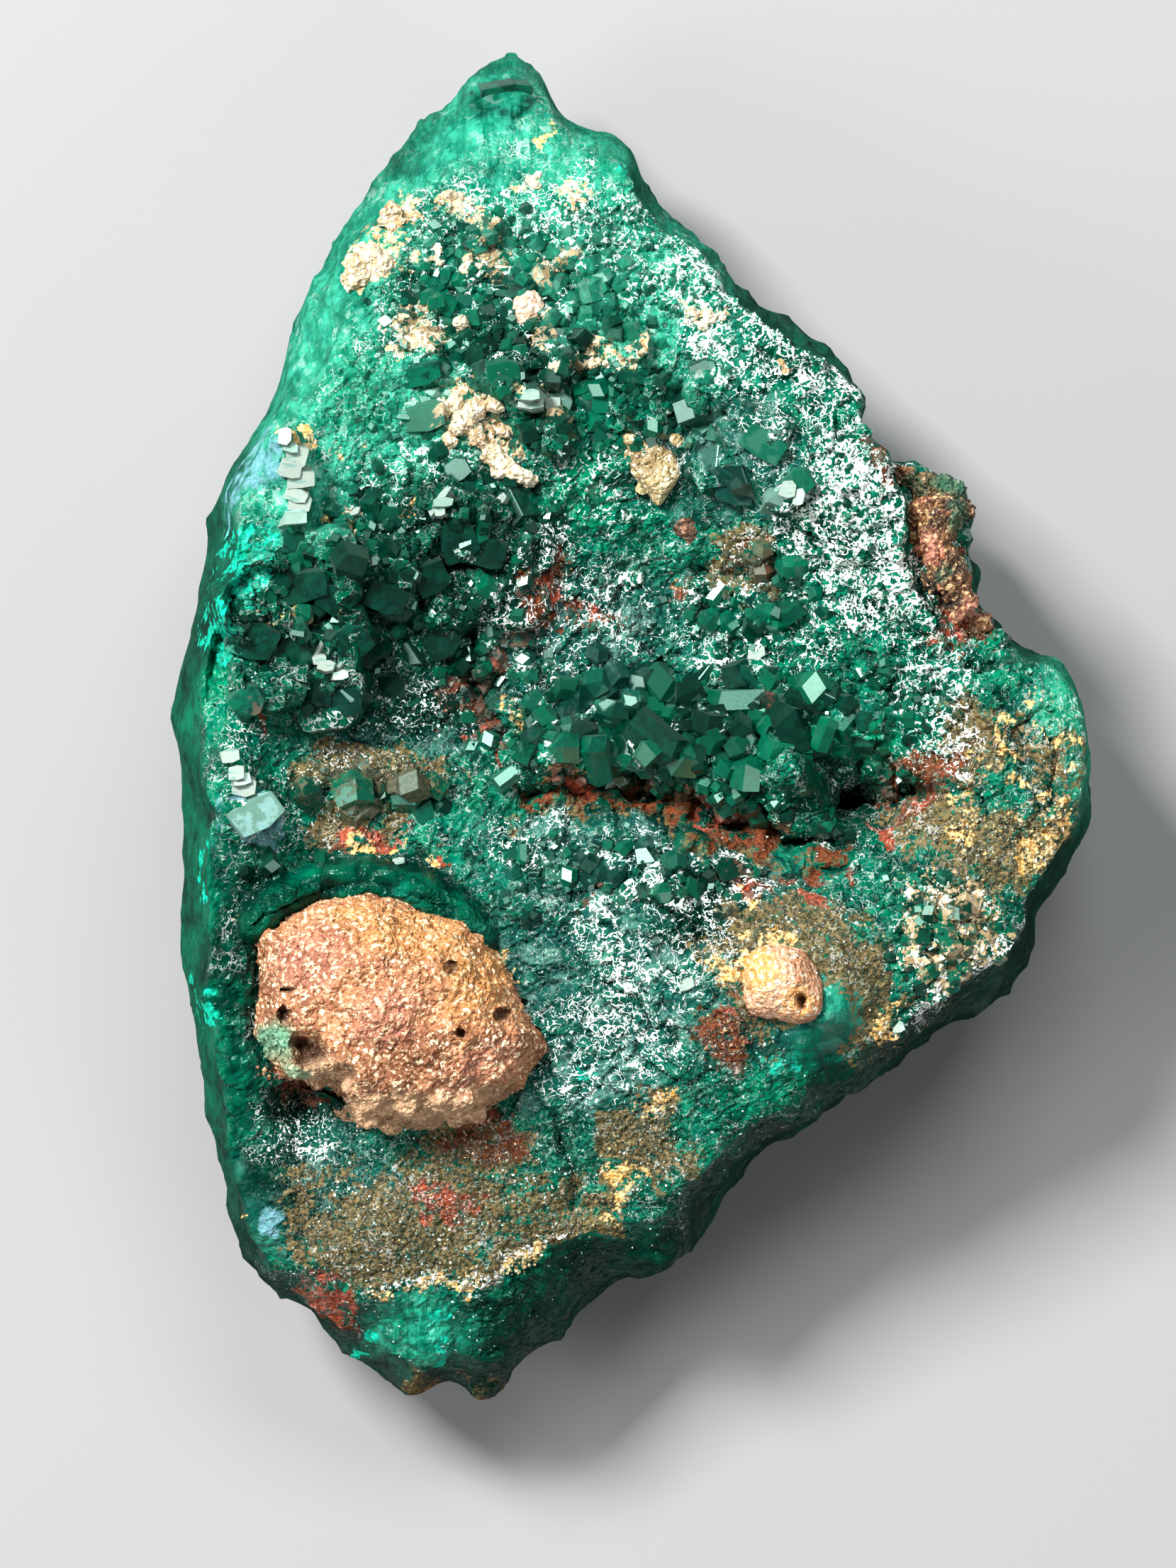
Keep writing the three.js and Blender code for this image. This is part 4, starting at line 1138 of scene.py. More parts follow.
def crystalMesh(name, radius, length, rootShare, slope, squash=1.0):
    # a stout six-sided prism with three end faces that meet at a point
    corners = [(radius * math.cos(angle), radius * squash * math.sin(angle)) for angle in sixths]
    points = [(x, y, -length * rootShare) for x, y in corners]
    for i, (x, y) in enumerate(corners):
        points.append((x, y, length / 2 - slope * radius * (0.5 if i % 2 else 1.0)))
    points.append((0, 0, length / 2))
    faces = [(i, (i + 1) % 6, 6 + (i + 1) % 6, 6 + i) for i in range(6)]
    faces += [(12, 6 + (i + 5) % 6, 6 + i, 7 + i) for i in (0, 2, 4)]
    faces.append((5, 4, 3, 2, 1, 0))
    return plainMesh(name, points, faces)


def rhombMesh(name, lean, shape=(1.0, 1.0, 1.0)):
    # a small rhombohedron, the common shape of the finest crystals
    ring = [(math.cos(angle), math.sin(angle), lean if i % 2 else -lean) for i, angle in enumerate(sixths)]
    points = [(0, 0, -3 * lean)] + ring + [(0, 0, 3 * lean)]
    faces = [(7, 1 + i, 1 + (i + 1) % 6, 1 + (i + 2) % 6) for i in (1, 3, 5)]
    faces += [(0, 1 + (i + 2) % 6, 1 + (i + 1) % 6, 1 + i) for i in (0, 2, 4)]
    mesh = plainMesh(name, points, faces)
    work = bmesh.new()
    work.from_mesh(mesh)
    bmesh.ops.recalc_face_normals(work, faces=work.faces)
    work.to_mesh(mesh)
    work.free()
    mesh.transform(Matrix.Diagonal((*shape, 1)))
    return mesh


def kindCollection(name, meshes):
    collection = bpy.data.collections.new(name)
    bpy.context.scene.collection.children.link(collection)
    for i, mesh in enumerate(meshes):
        collection.objects.link(bpy.data.objects.new(name + str(i), mesh))
    return collection


def dropCollection(collection):
    for obj in list(collection.objects):
        bpy.data.objects.remove(obj)
    bpy.data.collections.remove(collection)


def buildDruseTree():
    inputs = [("Geometry", "Geometry"), ("Kinds", "Collection"), ("Seed", "Int"), ("Material", "Material")]
    inputs += [(label, "Float") for label in ("Spacing", "Density", "Smallest", "Largest", "Lean", "Sink")]
    tree, given, sink = groupTree("druse", "GeometryNodeTree", inputs, [("Geometry", "Geometry")])

    def chance(low, high, shift):
        # a random number for each crystal
        inputs = {2: low, 3: high, 8: given["Seed"] + shift}
        return wireOf(tree, "FunctionNodeRandomValue", 1, inputs, data_type="FLOAT")

    cover = namedField(tree, "growth")
    points = putNode(
        tree, "GeometryNodeDistributePointsOnFaces",
        {"Mesh": given["Geometry"], "Distance Min": given["Spacing"], "Density Max": given["Density"],
         "Density Factor": cover, "Seed": given["Seed"]},
        distribute_method="POISSON",
    )
    sideways = wireOf(tree, "ShaderNodeCombineXYZ", 0, {part: chance(-1, 1, part + 1) for part in range(3)})
    axis = vectorOf(Wire(points.outputs["Normal"]), "ADD", vectorOf(sideways, "SCALE", given["Lean"]))
    spin = wireOf(tree, "ShaderNodeCombineXYZ", 0, {2: chance(0.0, 6.283, 4)})
    turn = wireOf(tree, "FunctionNodeEulerToRotation", 0, {0: spin})
    turn = wireOf(tree, "FunctionNodeAlignRotationToVector", 0, {"Rotation": turn, "Vector": axis}, axis="Z")
    share = chance(0.0, 1.0, 5).by("POWER", 1.8)
    size = wireOf(tree, "ShaderNodeMapRange", 0, {0: share, 3: given["Smallest"], 4: given["Largest"]})
    size = size * (0.5 * cover + 0.5)
    inputs = {"Collection": given["Kinds"], "Separate Children": True, "Reset Children": True}
    kinds = wireOf(tree, "GeometryNodeCollectionInfo", 0, inputs)
    sunk = vectorOf(axis, "SCALE", size * given["Sink"] * -1.0)
    inputs = {"Geometry": Wire(points.outputs["Points"]), "Offset": sunk}
    lowered = wireOf(tree, "GeometryNodeSetPosition", 0, inputs)
    inputs = {"Points": lowered, "Instance": kinds, "Pick Instance": True, "Rotation": turn, "Scale": size}
    placed = wireOf(tree, "GeometryNodeInstanceOnPoints", 0, inputs)
    inputs = {"Geometry": placed, "Name": "crystalTint", "Value": chance(0.0, 1.0, 6)}
    tinted = wireOf(tree, "GeometryNodeStoreNamedAttribute", 0, inputs, data_type="FLOAT", domain="INSTANCE")
    real = wireOf(tree, "GeometryNodeRealizeInstances", 0, {0: tinted})
    inputs = {"Geometry": real, "Material": given["Material"]}
    feed(sink, {0: wireOf(tree, "GeometryNodeSetMaterial", 0, inputs)})
    return tree


druseTree = buildDruseTree()


def growDruse(surface, growth, name, meshes, values, material):
    # crystals of the given kinds over a surface, as one plain mesh in millimetres
    writeMask(surface, "growth", growth)
    kinds = kindCollection(name + "Kinds", meshes)
    result = throughTree(surface, name, druseTree, dict(values, Kinds=kinds, Material=material))
    dropCollection(kinds)
    return result


stoutKinds = [
    crystalMesh("stout", 1.0, 2.0, 0.5, 0.78), crystalMesh("tall", 0.85, 2.6, 0.5, 0.7, 0.9),
    crystalMesh("flat", 1.1, 1.5, 0.5, 0.6, 0.85), crystalMesh("blocky", 1.0, 1.7, 0.5, 0.95, 1.05),
]
grainKinds = [rhombMesh("rhomb", 0.3), rhombMesh("sharpRhomb", 0.42)]
smallKinds = grainKinds + [crystalMesh("tinyStout", 0.9, 1.8, 0.5, 0.8)]
shardKinds = [
    rhombMesh("splinter", 0.3, (1.3, 0.42, 0.4)), rhombMesh("flake", 0.34, (0.9, 0.6, 0.35)),
    rhombMesh("tooth", 0.4, (0.8, 0.5, 0.7)),
]
bareSpots = [  # a place, and how far out from it crystals begin and grow fully
    ((-9.2, -10.7, 5.6, 4.4, -15), 0.75, 1.0), ((5.5, -9.4, 1.5, 1.5, 0), 0.9, 1.3),
    ((7.0, -10.9, 1.9, 1.7, 0), 0.8, 1.1), ((8.4, -2.8, 1.1, 0.9, 0), 0.7, 1.2),
]
slabX, slabY = coordsOf(slab)[:, :2].T


def openGround():
    # where crystals can grow on the slab: the top face, clear of the lumps and of the apex
    cover = readMask(slab, "druseCover") * (1.0 - smoothStep(*apexFade, slabY))
    for place, low, high in bareSpots:
        cover = cover * smoothStep(low, high, flatDistance(slabX, slabY, place))
    cover = cover * clearOfRims(slabX, slabY, 0.8, 1.5)
    cover = cover * (0.2 + 0.8 * smoothStep(0.35, 0.8, lineDistance(slabX, slabY, ledgeFoot)))
    return cover * smoothStep(1.0, 1.9, lineDistance(slabX, slabY, glassyRim))


def patchy(size, seed, low, high):
    return smoothStep(low, high, waves(slabX, slabY, size, seed))


def fleckGrowth():
    # white flecks of sugar, which also stand in as painted glints, lie along threads in the frosted places,
    # more on ridges, and thinly elsewhere
    lines = np.abs(waves(slabX, slabY, 0.62, 33)) + 0.25 * waves(slabX, slabY, 0.25, 34)
    lines = 1.0 - smoothStep(0.12, 0.4, lines)
    growth = stains["frostVeins"] * np.maximum(lines, 0.3 * patchy(1.6, 35, -0.2, 0.5))
    growth = growth * (0.5 + readMask(slab, "ridge"))
    growth = np.maximum(growth, 0.2 * zones["fineZone"] * patchy(0.8, 36, -0.3, 0.3))
    growth = np.maximum(growth, 0.04) * (1.0 - 0.75 * zones["crystalBand"])
    return np.clip(1.2 * growth * (1.0 - 0.6 * stains["deepGlass"]), 0.0, 1.0)


ground = openGround()
zones = {name: patchMask(slabX, slabY, places) for name, places in zonePlaces.items()}
stains = {name: patchMask(slabX, slabY, places) for name, places in stainPlaces.items()}
crowded = np.maximum(zones["druseZone"], 0.8 * zones["crystalBand"])
scattered = np.maximum(crowded, 0.6 * zones["wormZone"])
sandy = np.maximum(stains["ochreSeam"], 0.25 * stains["khakiCrust"])

# Each sort of druse: where it grows, its crystals, its stone if it isn't dioptase, and its values by name.
druseValues = ("Spacing", "Density", "Smallest", "Largest", "Lean", "Sink", "Seed")
druseSorts = {
    "band_crystals": (
        ground * zones["crystalBand"], stoutKinds, None, (0.62, 4.5, 0.45, 1.0, 0.6, 0.22, 3)),
    "crowded_druse": (
        ground * crowded, stoutKinds, None, (0.36, 8.0, 0.2, 0.56, 0.5, 0.4, 11)),
    "small_druse": (
        ground * np.maximum(scattered, 0.3) * patchy(1.3, 3, -0.6, 0.2), smallKinds, None,
        (0.17, 26.0, 0.1, 0.26, 0.7, 0.45, 29)),
    "sparkling_grains": (
        ground * np.maximum(zones["fineZone"], 0.15), grainKinds, None,
        (0.12, 50.0, 0.045, 0.09, 1.2, 0.0, 41)),
    "white_flecks": (
        ground * fleckGrowth(), shardKinds, "frostSugar", (0.1, 46.0, 0.07, 0.2, 0.9, 0.1, 47)),
    "cream_grains": (
        ground * stains["creamCrust"] * patchy(0.8, 8, -0.2, 0.3), grainKinds, "creamSugar",
        (0.13, 50.0, 0.07, 0.17, 1.0, 0.0, 53)),
    "rusty_grains": (
        ground * stains["rustStain"] * patchy(0.9, 12, -0.3, 0.3), grainKinds, "rustyEarth",
        (0.16, 30.0, 0.06, 0.16, 1.0, 0.1, 61)),
    "sandy_grains": (
        ground * sandy * patchy(0.8, 15, -0.3, 0.4), grainKinds, "yellowSand",
        (0.13, 40.0, 0.05, 0.12, 1.0, 0.0, 71)),
}
grainSlots = {"creamSugar": "cream_nodule", "rustyEarth": "rusty_matrix", "yellowSand": "sandy_matrix"}

for pieceName, (growth, meshes, stone, values) in druseSorts.items():
    material = stoneMaterials[stone] if stone else glassMaterials["crystalDioptase"]
    grown = growDruse(slab, growth, pieceName, meshes, dict(zip(druseValues, values)), material)
    finishPiece(grown, pieceName, grainSlots.get(stone, "dioptase"), material)


# The large crystals stand in groups, most of them where the solid has them.

crystalGroups = [
    {"at": (-12.9, 3.8), "size": (2.6, 2.4), "count": 8, "radius": (1.05, 1.5), "tall": 1.5, "lean": 20,
     "sunk": 0.66},
    {"at": (-7.4, 6.8), "size": (3.4, 2.9), "count": 9, "radius": (0.85, 1.25), "tall": 1.6, "lean": 0},
    {"at": (-2.0, 12.2), "size": (6.2, 2.2), "count": 8, "radius": (0.7, 1.1), "tall": 1.6, "lean": -70},
    {"at": (4.2, 10.2), "size": (1.6, 1.7), "count": 4, "radius": (0.9, 1.25), "tall": 1.5, "lean": -150},
    {"at": (-4.4, 15.4), "size": (4.4, 2.2), "count": 12, "radius": (0.55, 0.85), "tall": 1.5, "lean": -60},
    {"at": (-8.0, 12.6), "size": (2.6, 2.0), "count": 6, "radius": (0.6, 0.95), "tall": 1.5, "lean": -40},
    {"at": (0.4, 9.2), "size": (3.6, 1.8), "count": 8, "radius": (0.6, 0.9), "tall": 1.5, "lean": -100},
    {"at": (5.0, -0.4), "size": (4.8, 1.6), "count": 8, "radius": (0.7, 1.0), "tall": 1.7, "lean": 100},
    {"at": (-10.6, -2.4), "size": (2.4, 0.9), "count": 8, "radius": (0.3, 0.5), "tall": 1.6, "lean": 60},
    {"at": (-0.5, -5.6), "size": (5.0, 1.8), "count": 5, "radius": (0.55, 0.8), "tall": 1.4, "lean": 120},
]
crystalTilt = 0.62

# Single crystals: place, radius, length, bearing, tilt, spin, squash and tint, which is pale over 1.4.
singleCrystals = [
    (-8.1, 12.1, 1.3, 1.5, 250, 22, 0, 0.8, 1.1), (-5.1, 8.6, 0.3, 1.0, 140, 20, 40, 0.7, 1.9),
    (-4.1, 12.4, 0.6, 1.1, 120, 12, 0, 0.7, 1.5), (-3.1, 12.5, 0.45, 1.0, 160, 14, 20, 0.8, 1.45),
    (-7.4, 8.4, 0.7, 1.2, 140, 24, 50, 0.3, 1.9), (-12.0, 2.7, 0.5, 0.9, 130, 26, 60, 0.3, 1.9),
    (-11.3, 2.0, 0.45, 0.9, 130, 26, 50, 0.3, 1.9), (-10.7, 8.2, 0.3, 0.8, 120, 18, 0, 0.8, 2.0),
    (-6.4, 7.4, 1.3, 1.8, 200, 20, 30, 0.8, 0.1), (9.8, -11.2, 0.26, 0.8, 120, 14, 15, 1.0, 1.9),
    (4.5, 2.9, 0.4, 1.0, 120, 18, 10, 0.8, 1.5), (5.5, 0.8, 0.4, 1.1, 140, 18, 30, 0.8, 1.45),
    (3.2, -7.0, 0.8, 1.3, 230, 14, 10, 0.6, 0.0), (4.4, 10.2, 1.6, 1.8, 240, 14, 10, 0.9, 0.35),
    (-2.0, 9.3, 1.5, 1.6, 250, 12, 0, 0.7, 0.8), (-12.2, 5.0, 2.1, 2.6, 60, 26, 0, 0.6, 0.1),
    (-13.6, 3.1, 1.7, 2.6, 70, 20, 10, 0.65, 0.12), (-10.8, 3.0, 1.3, 2.0, 50, 28, 0, 0.8, 0.2),
    (5.4, 8.9, 0.9, 1.3, 60, 24, 40, 0.6, 1.2), (1.8, -9.6, 0.35, 0.9, 140, 14, 20, 0.8, 1.5),
    (-0.5, 0.9, 0.3, 0.9, 130, 18, 0, 0.8, 1.5), (-9.0, -5.0, 0.3, 0.9, 120, 20, 0, 0.6, 1.6),
    (-5.0, 16.6, 0.9, 1.3, 90, 20, 0, 0.5, 0.0), (2.6, 2.0, 0.8, 1.4, 200, 24, 0, 0.8, 0.1),
    (-3.4, 16.2, 0.8, 1.2, 90, 14, 20, 0.5, 0.0), (0.9, 1.4, 0.9, 1.4, 160, 26, 20, 0.8, 0.15),
    (7.0, 1.2, 0.8, 1.4, 120, 28, 30, 0.8, 0.2), (-8.6, 3.0, 1.1, 1.6, 100, 24, 0, 0.8, 0.05),
    (-14.0, 1.6, 1.35, 1.9, 80, 14, 10, 0.8, 0.12), (-12.1, 1.3, 0.9, 1.6, 250, 16, 30, 0.7, 0.2),
    (-10.9, 1.3, 0.8, 1.4, 150, 26, 0, 0.65, 0.3), (-5.9, 14.4, 0.8, 1.2, 120, 18, 0, 0.6, 0.1),
    (-2.2, 14.8, 0.7, 1.2, 200, 18, 0, 0.6, 0.1), (-7.6, 13.6, 0.8, 1.2, 80, 18, 0, 0.6, 0.15),
]

# Large crystals that show one flat face: place, length, width, turn, bearing, tilt and tint.
flatCrystals = [
    (-5.3, 24.5, 1.9, 0.6, 8, 280, 25, 0.3), (-4.9, 15.6, 0.7, 1.4, 4, 270, 12, 0.3),
    (-5.0, 16.8, 1.4, 0.6, 0, 255, 12, 0.35), (-12.9, 5.4, 1.9, 1.1, 16, 250, 14, 0.4),
    (-11.4, 5.1, 1.4, 1.0, -20, 275, 16, 0.3), (-14.6, 3.6, 1.8, 1.4, -14, 255, 12, 0.45),
    (-13.2, 2.9, 1.6, 1.3, 24, 262, 15, 0.35), (-10.9, 3.4, 1.3, 1.2, 30, 270, 14, 0.42),
    (-9.5, 5.2, 1.5, 1.1, -18, 250, 18, 0.3), (-8.0, 5.8, 1.3, 1.2, 34, 280, 15, 0.42),
    (-6.9, 7.3, 1.3, 1.5, 24, 278, 14, 0.4), (-5.6, 6.8, 1.0, 1.1, -8, 265, 16, 0.35),
    (-11.2, 1.2, 1.3, 1.1, 10, 270, 16, 0.4), (-14.7, 1.1, 1.3, 1.0, 40, 262, 14, 0.45),
    (-12.9, 7.2, 1.3, 0.9, -14, 250, 18, 0.4), (-9.2, 8.2, 1.4, 0.8, -16, 275, 18, 0.5),
    (-8.4, 13.5, 1.5, 0.8, 20, 290, 16, 0.4), (-8.2, 12.0, 1.5, 1.1, 12, 250, 16, 1.02),
    (-5.2, 13.6, 1.3, 0.8, 10, 280, 18, 0.9), (-3.2, 12.5, 1.2, 0.8, -12, 260, 16, 1.05),
    (-1.6, 12.5, 1.2, 0.9, 16, 300, 16, 0.9), (4.6, 11.0, 1.6, 1.1, -28, 230, 18, 0.9),
    (3.6, 9.3, 1.5, 1.2, -14, 280, 18, 0.5), (5.8, 9.3, 1.2, 0.9, 34, 250, 20, 1.0),
    (2.4, 13.6, 1.1, 0.8, 20, 240, 18, 0.4), (-6.9, 9.9, 1.1, 0.8, 30, 245, 18, 0.4),
    (-7.6, 3.4, 1.4, 1.2, 40, 262, 16, 0.35), (-9.4, 1.8, 1.1, 0.9, 0, 250, 16, 0.4),
    (1.6, 0.9, 1.4, 1.2, 20, 250, 20, 0.3), (5.6, 0.2, 1.4, 1.1, -10, 260, 20, 0.3),
    (-14.5, -3.2, 1.9, 1.3, 35, 150, 4, 1.05),
]

# A stack of pale blocks: from, to, how many, and their sizes.
paleStacks = [
    ((-13.1, 11.3), (-12.8, 7.8), 8, (0.42, 0.6)), ((-15.5, -0.9), (-14.7, -2.3), 4, (0.3, 0.45)),
    ((-12.2, 2.9), (-11.3, 1.9), 3, (0.25, 0.4)), ((-7.7, 8.8), (-7.1, 8.1), 2, (0.25, 0.4)),
    ((-4.4, 12.7), (-3.0, 12.3), 3, (0.3, 0.45)), ((5.6, 9.3), (6.0, 8.5), 2, (0.3, 0.45)),
]


def spread(index, channel):
    # numbers from 0 to 1 that look random and are the same in every run
    value = math.sin(index * 12.9898 + channel * 78.233) * 43758.5453
    return value - math.floor(value)


def addCrystal(joined, tints, place, crystal, tint):
    crystal.transform(place)
    before = len(joined.verts)
    joined.from_mesh(crystal)
    joined.verts.ensure_lookup_table()
    for vertex in joined.verts[before:]:
        vertex[tints] = tint


def standing(x, y, lift, bearing, tilt, spin):
    # a place on the slab's skin, from which a crystal leans towards its bearing
    place = Matrix.Translation((x, y, slabHeight(x, y) + lift))
    place @= Matrix.Rotation(tilt, 4, Vector((-math.sin(bearing), math.cos(bearing), 0)))
    return place @ Matrix.Rotation(spin, 4, "Z")


slabSkin = skinOf(slab)


def slabHeight(x, y):
    hit = hitBelow(slabSkin, x, y)
    return hit.z if hit else 0.0


blockOutline = [(-0.5, -0.45), (0.1, -0.55), (0.52, -0.4), (0.58, 0.3), (0.2, 0.5), (-0.42, 0.42)]


def blockMesh(wide, deep, tall, seed):
    # a cleaved block with an uneven outline and a top that leans and rises
    points = []
    for level, lean, rise in ((-0.6, 0.0, 0.0), (0.4, 0.1, 0.14)):
        for i, (x, y) in enumerate(blockOutline):
            reach = 0.85 + 0.3 * spread(seed, 20 + i)
            height = (level + rise * (x - y)) * tall
            points.append(((x * reach + lean) * wide, (y * reach - lean) * deep, height))
    sides = [(i, (i + 1) % 6, 6 + (i + 1) % 6, 6 + i) for i in range(6)]
    return plainMesh("block", points, sides + [(5, 4, 3, 2, 1, 0), (6, 7, 8, 9, 10, 11)])


def between(low, high, share):
    return low + (high - low) * share


def groupCrystals(joined, tints):
    seed = 0
    for group in crystalGroups:
        for index in range(group["count"]):
            seed += 1
            angle = 2 * math.pi * spread(seed, 1) + index * 2.4
            reach = math.sqrt((index + 0.5) / group["count"])
            x = group["at"][0] + group["size"][0] * reach * math.cos(angle)
            y = group["at"][1] + group["size"][1] * reach * math.sin(angle)
            radius = between(*group["radius"], spread(seed, 2))
            length = radius * group["tall"] * 1.5
            bearing = math.radians(group["lean"] + 90 * (spread(seed, 4) - 0.5))
            tilt = crystalTilt * (0.35 + 0.65 * spread(seed, 5))
            sunk = group.get("sunk", 0.5) * length
            place = standing(x, y, -sunk, bearing, tilt, spread(seed, 6) * math.pi)
            crystal = crystalMesh("crystal", radius, length, 0.6, 0.78, 0.6 + 0.3 * spread(seed, 15))
            addCrystal(joined, tints, place, crystal, 0.1 + 0.6 * spread(seed, 8))


def stackBlocks(joined, tints):
    seed = 100
    for start, end, count, sizes in paleStacks:
        for index in range(count):
            seed += 1
            share = (index + 0.5) / count
            x = between(start[0], end[0], share) + 0.34 * (spread(seed, 1) - 0.5)
            y = between(start[1], end[1], share) + 0.3 * (spread(seed, 2) - 0.5)
            size = between(*sizes, spread(seed, 3) ** 1.5)
            wide, deep = size * (1.1 + 1.2 * spread(seed, 10)), size * (0.9 + 0.8 * spread(seed, 4))
            bearing, tilt = 6.28 * spread(seed, 6), 0.1 + 0.25 * spread(seed, 7)
            place = standing(x, y, -0.02, bearing, tilt, 0.6 * (spread(seed, 8) - 0.5))
            addCrystal(joined, tints, place, blockMesh(wide, deep, 0.9, seed), 1.38 + 0.4 * spread(seed, 9))


def crystalPiece(name, material, pale):
    # crystals with a tint over 1.4 are pale and make a piece of their own
    joined = bmesh.new()
    tints = joined.verts.layers.float.new("crystalTint")
    for x, y, radius, length, bearing, tilt, spin, squash, tint in singleCrystals:
        if (tint > 1.4) != pale:
            continue
        sunk = (0.56 if radius > 1.2 else 0.34) * length
        place = standing(x, y, -sunk, *(math.radians(angle) for angle in (bearing, tilt, spin)))
        if pale:
            crystal = blockMesh(radius * 1.7, radius * squash * 1.7, length, 10 * x)
        else:
            crystal = crystalMesh("crystal", radius, length, 0.6, 0.6, squash)
        addCrystal(joined, tints, place, crystal, tint)
    if pale:
        stackBlocks(joined, tints)
    else:
        groupCrystals(joined, tints)
        for x, y, wide, deep, turn, bearing, tilt, tint in flatCrystals:
            place = standing(x, y, -0.22, *(math.radians(angle) for angle in (bearing, tilt, turn)))
            addCrystal(joined, tints, place, blockMesh(wide, deep, 1.1, 10 * x), tint)
    bmesh.ops.bevel(joined, geom=joined.edges[:], offset=0.012 if pale else 0.03, segments=1, affect="EDGES")
    mesh = bpy.data.meshes.new(name)
    joined.to_mesh(mesh)
    joined.free()
    writePlaces(mesh)
    writeMask(mesh, "paleGlass", np.zeros(len(mesh.vertices)))  # large crystals are never mint
    finishPiece(mesh, name, "dioptase", material)


crystalPiece("large_crystals", glassMaterials["crystalDioptase"], False)
crystalPiece("pale_crystals", glassMaterials["paleDioptase"], True)


# Matrix: each lump is its CAD solid with small knobs run into it, roughened and set with grains.

# A lump is drawn in by "shrink", flat and tall, and its foot spreads by "foot". The balls have a place and a
# radius, and "knobs" more are strewn over it.
lumpForms = {
    "large_matrix_lump": {
        "slot": "tan_matrix", "stone": "tanSand", "voxel": 0.14, "rough": 0.38, "grain": (0.04, 0.1),
        "foot": 0.2, "shrink": (0.98, 1.0)},
    "small_matrix_knob": {
        "slot": "peach_matrix", "stone": "peachSand", "voxel": 0.1, "rough": 0.07, "grain": (0.03, 0.07),
        "shrink": (0.72, 0.46), "foot": 0.1,
        "balls": [(5.4, -9.4, 1.35), (5.0, -9.0, 0.95), (5.8, -9.8, 1.15), (6.1, -10.2, 0.8),
                  (4.9, -9.9, 0.9)]},
    "rusty_edge_clump": {
        "slot": "rusty_matrix", "stone": "rustyEarth", "voxel": 0.1, "rough": 0.56, "grain": (0.05, 0.12),
        "shrink": (0.72, 0.5),
        "balls": [(10.9, 9.1, 0.62), (11.8, 8.9, 0.68), (11.5, 7.9, 0.8), (10.7, 8.2, 0.6),
                  (11.0, 7.0, 0.5), (11.7, 6.7, 0.42), (11.4, 6.0, 0.36), (11.0, 5.6, 0.3),
                  (12.0, 5.4, 0.42), (12.4, 4.6, 0.46), (13.0, 4.0, 0.42), (11.7, 4.6, 0.3),
                  (10.1, 9.5, 0.38), (12.2, 8.2, 0.5), (12.7, 3.6, 0.3), (10.3, 7.4, 0.3)]},
    "sandy_wedge": {
        "slot": "sandy_matrix", "stone": "yellowSand", "voxel": 0.09, "rough": 0.16, "grain": (0.04, 0.09),
        "shrink": (1.25, 0.9),
        "balls": [(-0.2, 10.9, 0.22), (1.5, 10.85, 0.25), (0.2, 9.1, 0.24)]},
    "cream_wishbone": {
        "slot": "cream_nodule", "stone": "creamSugar", "voxel": 0.08, "rough": 0.4, "grain": (0.04, 0.1),
        "shrink": (0.42, 0.34),
        "balls": [(-7.4, 12.1, 0.34), (-6.8, 12.4, 0.3), (-6.1, 12.1, 0.36), (-5.4, 12.3, 0.28),
                  (-6.6, 11.5, 0.36), (-6.0, 11.0, 0.4), (-5.5, 10.5, 0.38), (-5.0, 10.0, 0.42),
                  (-4.5, 9.6, 0.34), (-4.1, 9.4, 0.26), (-5.1, 11.3, 0.24), (-7.1, 10.9, 0.24)]},
    "brown_knob": {
        "slot": "brown_knob", "stone": "brownEarth", "voxel": 0.08, "rough": 0.24, "grain": (0.05, 0.1),
        "knobs": 6, "shrink": (0.86, 0.7)},
    "pink_nodule": {
        "slot": "pink_nodule", "stone": "pinkSugar", "voxel": 0.08, "rough": 0.1, "grain": (0.03, 0.07),
        "knobs": 2, "shrink": (0.9, 0.7)},
}
for i in range(1, 7):
    lumpForms["cream_nodule_" + str(i)] = {
        "slot": "cream_nodule", "stone": "creamSugar", "voxel": 0.08, "rough": 0.36, "grain": (0.05, 0.11),
        "knobs": 12, "shrink": (0.66, 0.42), "seed": 20 * i,
    }

# Knobs along the foot of the large lump: place and radius.
footKnobs = [(-12.7, -12.6, 0.4), (-12.0, -13.1, 0.45), (-11.2, -13.3, 0.45), (-10.7, -14.2, 0.5),
             (-10.0, -14.6, 0.42), (-9.2, -14.7, 0.5), (-8.3, -14.9, 0.42), (-7.6, -14.8, 0.45),
             (-6.8, -14.6, 0.5), (-6.0, -14.4, 0.4), (-9.7, -13.8, 0.5), (-8.6, -14.0, 0.4),
             (-7.4, -13.9, 0.5), (-10.6, -13.4, 0.45), (-11.6, -12.5, 0.4), (-5.3, -14.0, 0.4),
             (-6.4, -13.7, 0.35), (-9.0, -13.1, 0.35), (-13.4, -12.9, 0.35), (-10.1, -12.9, 0.35)]

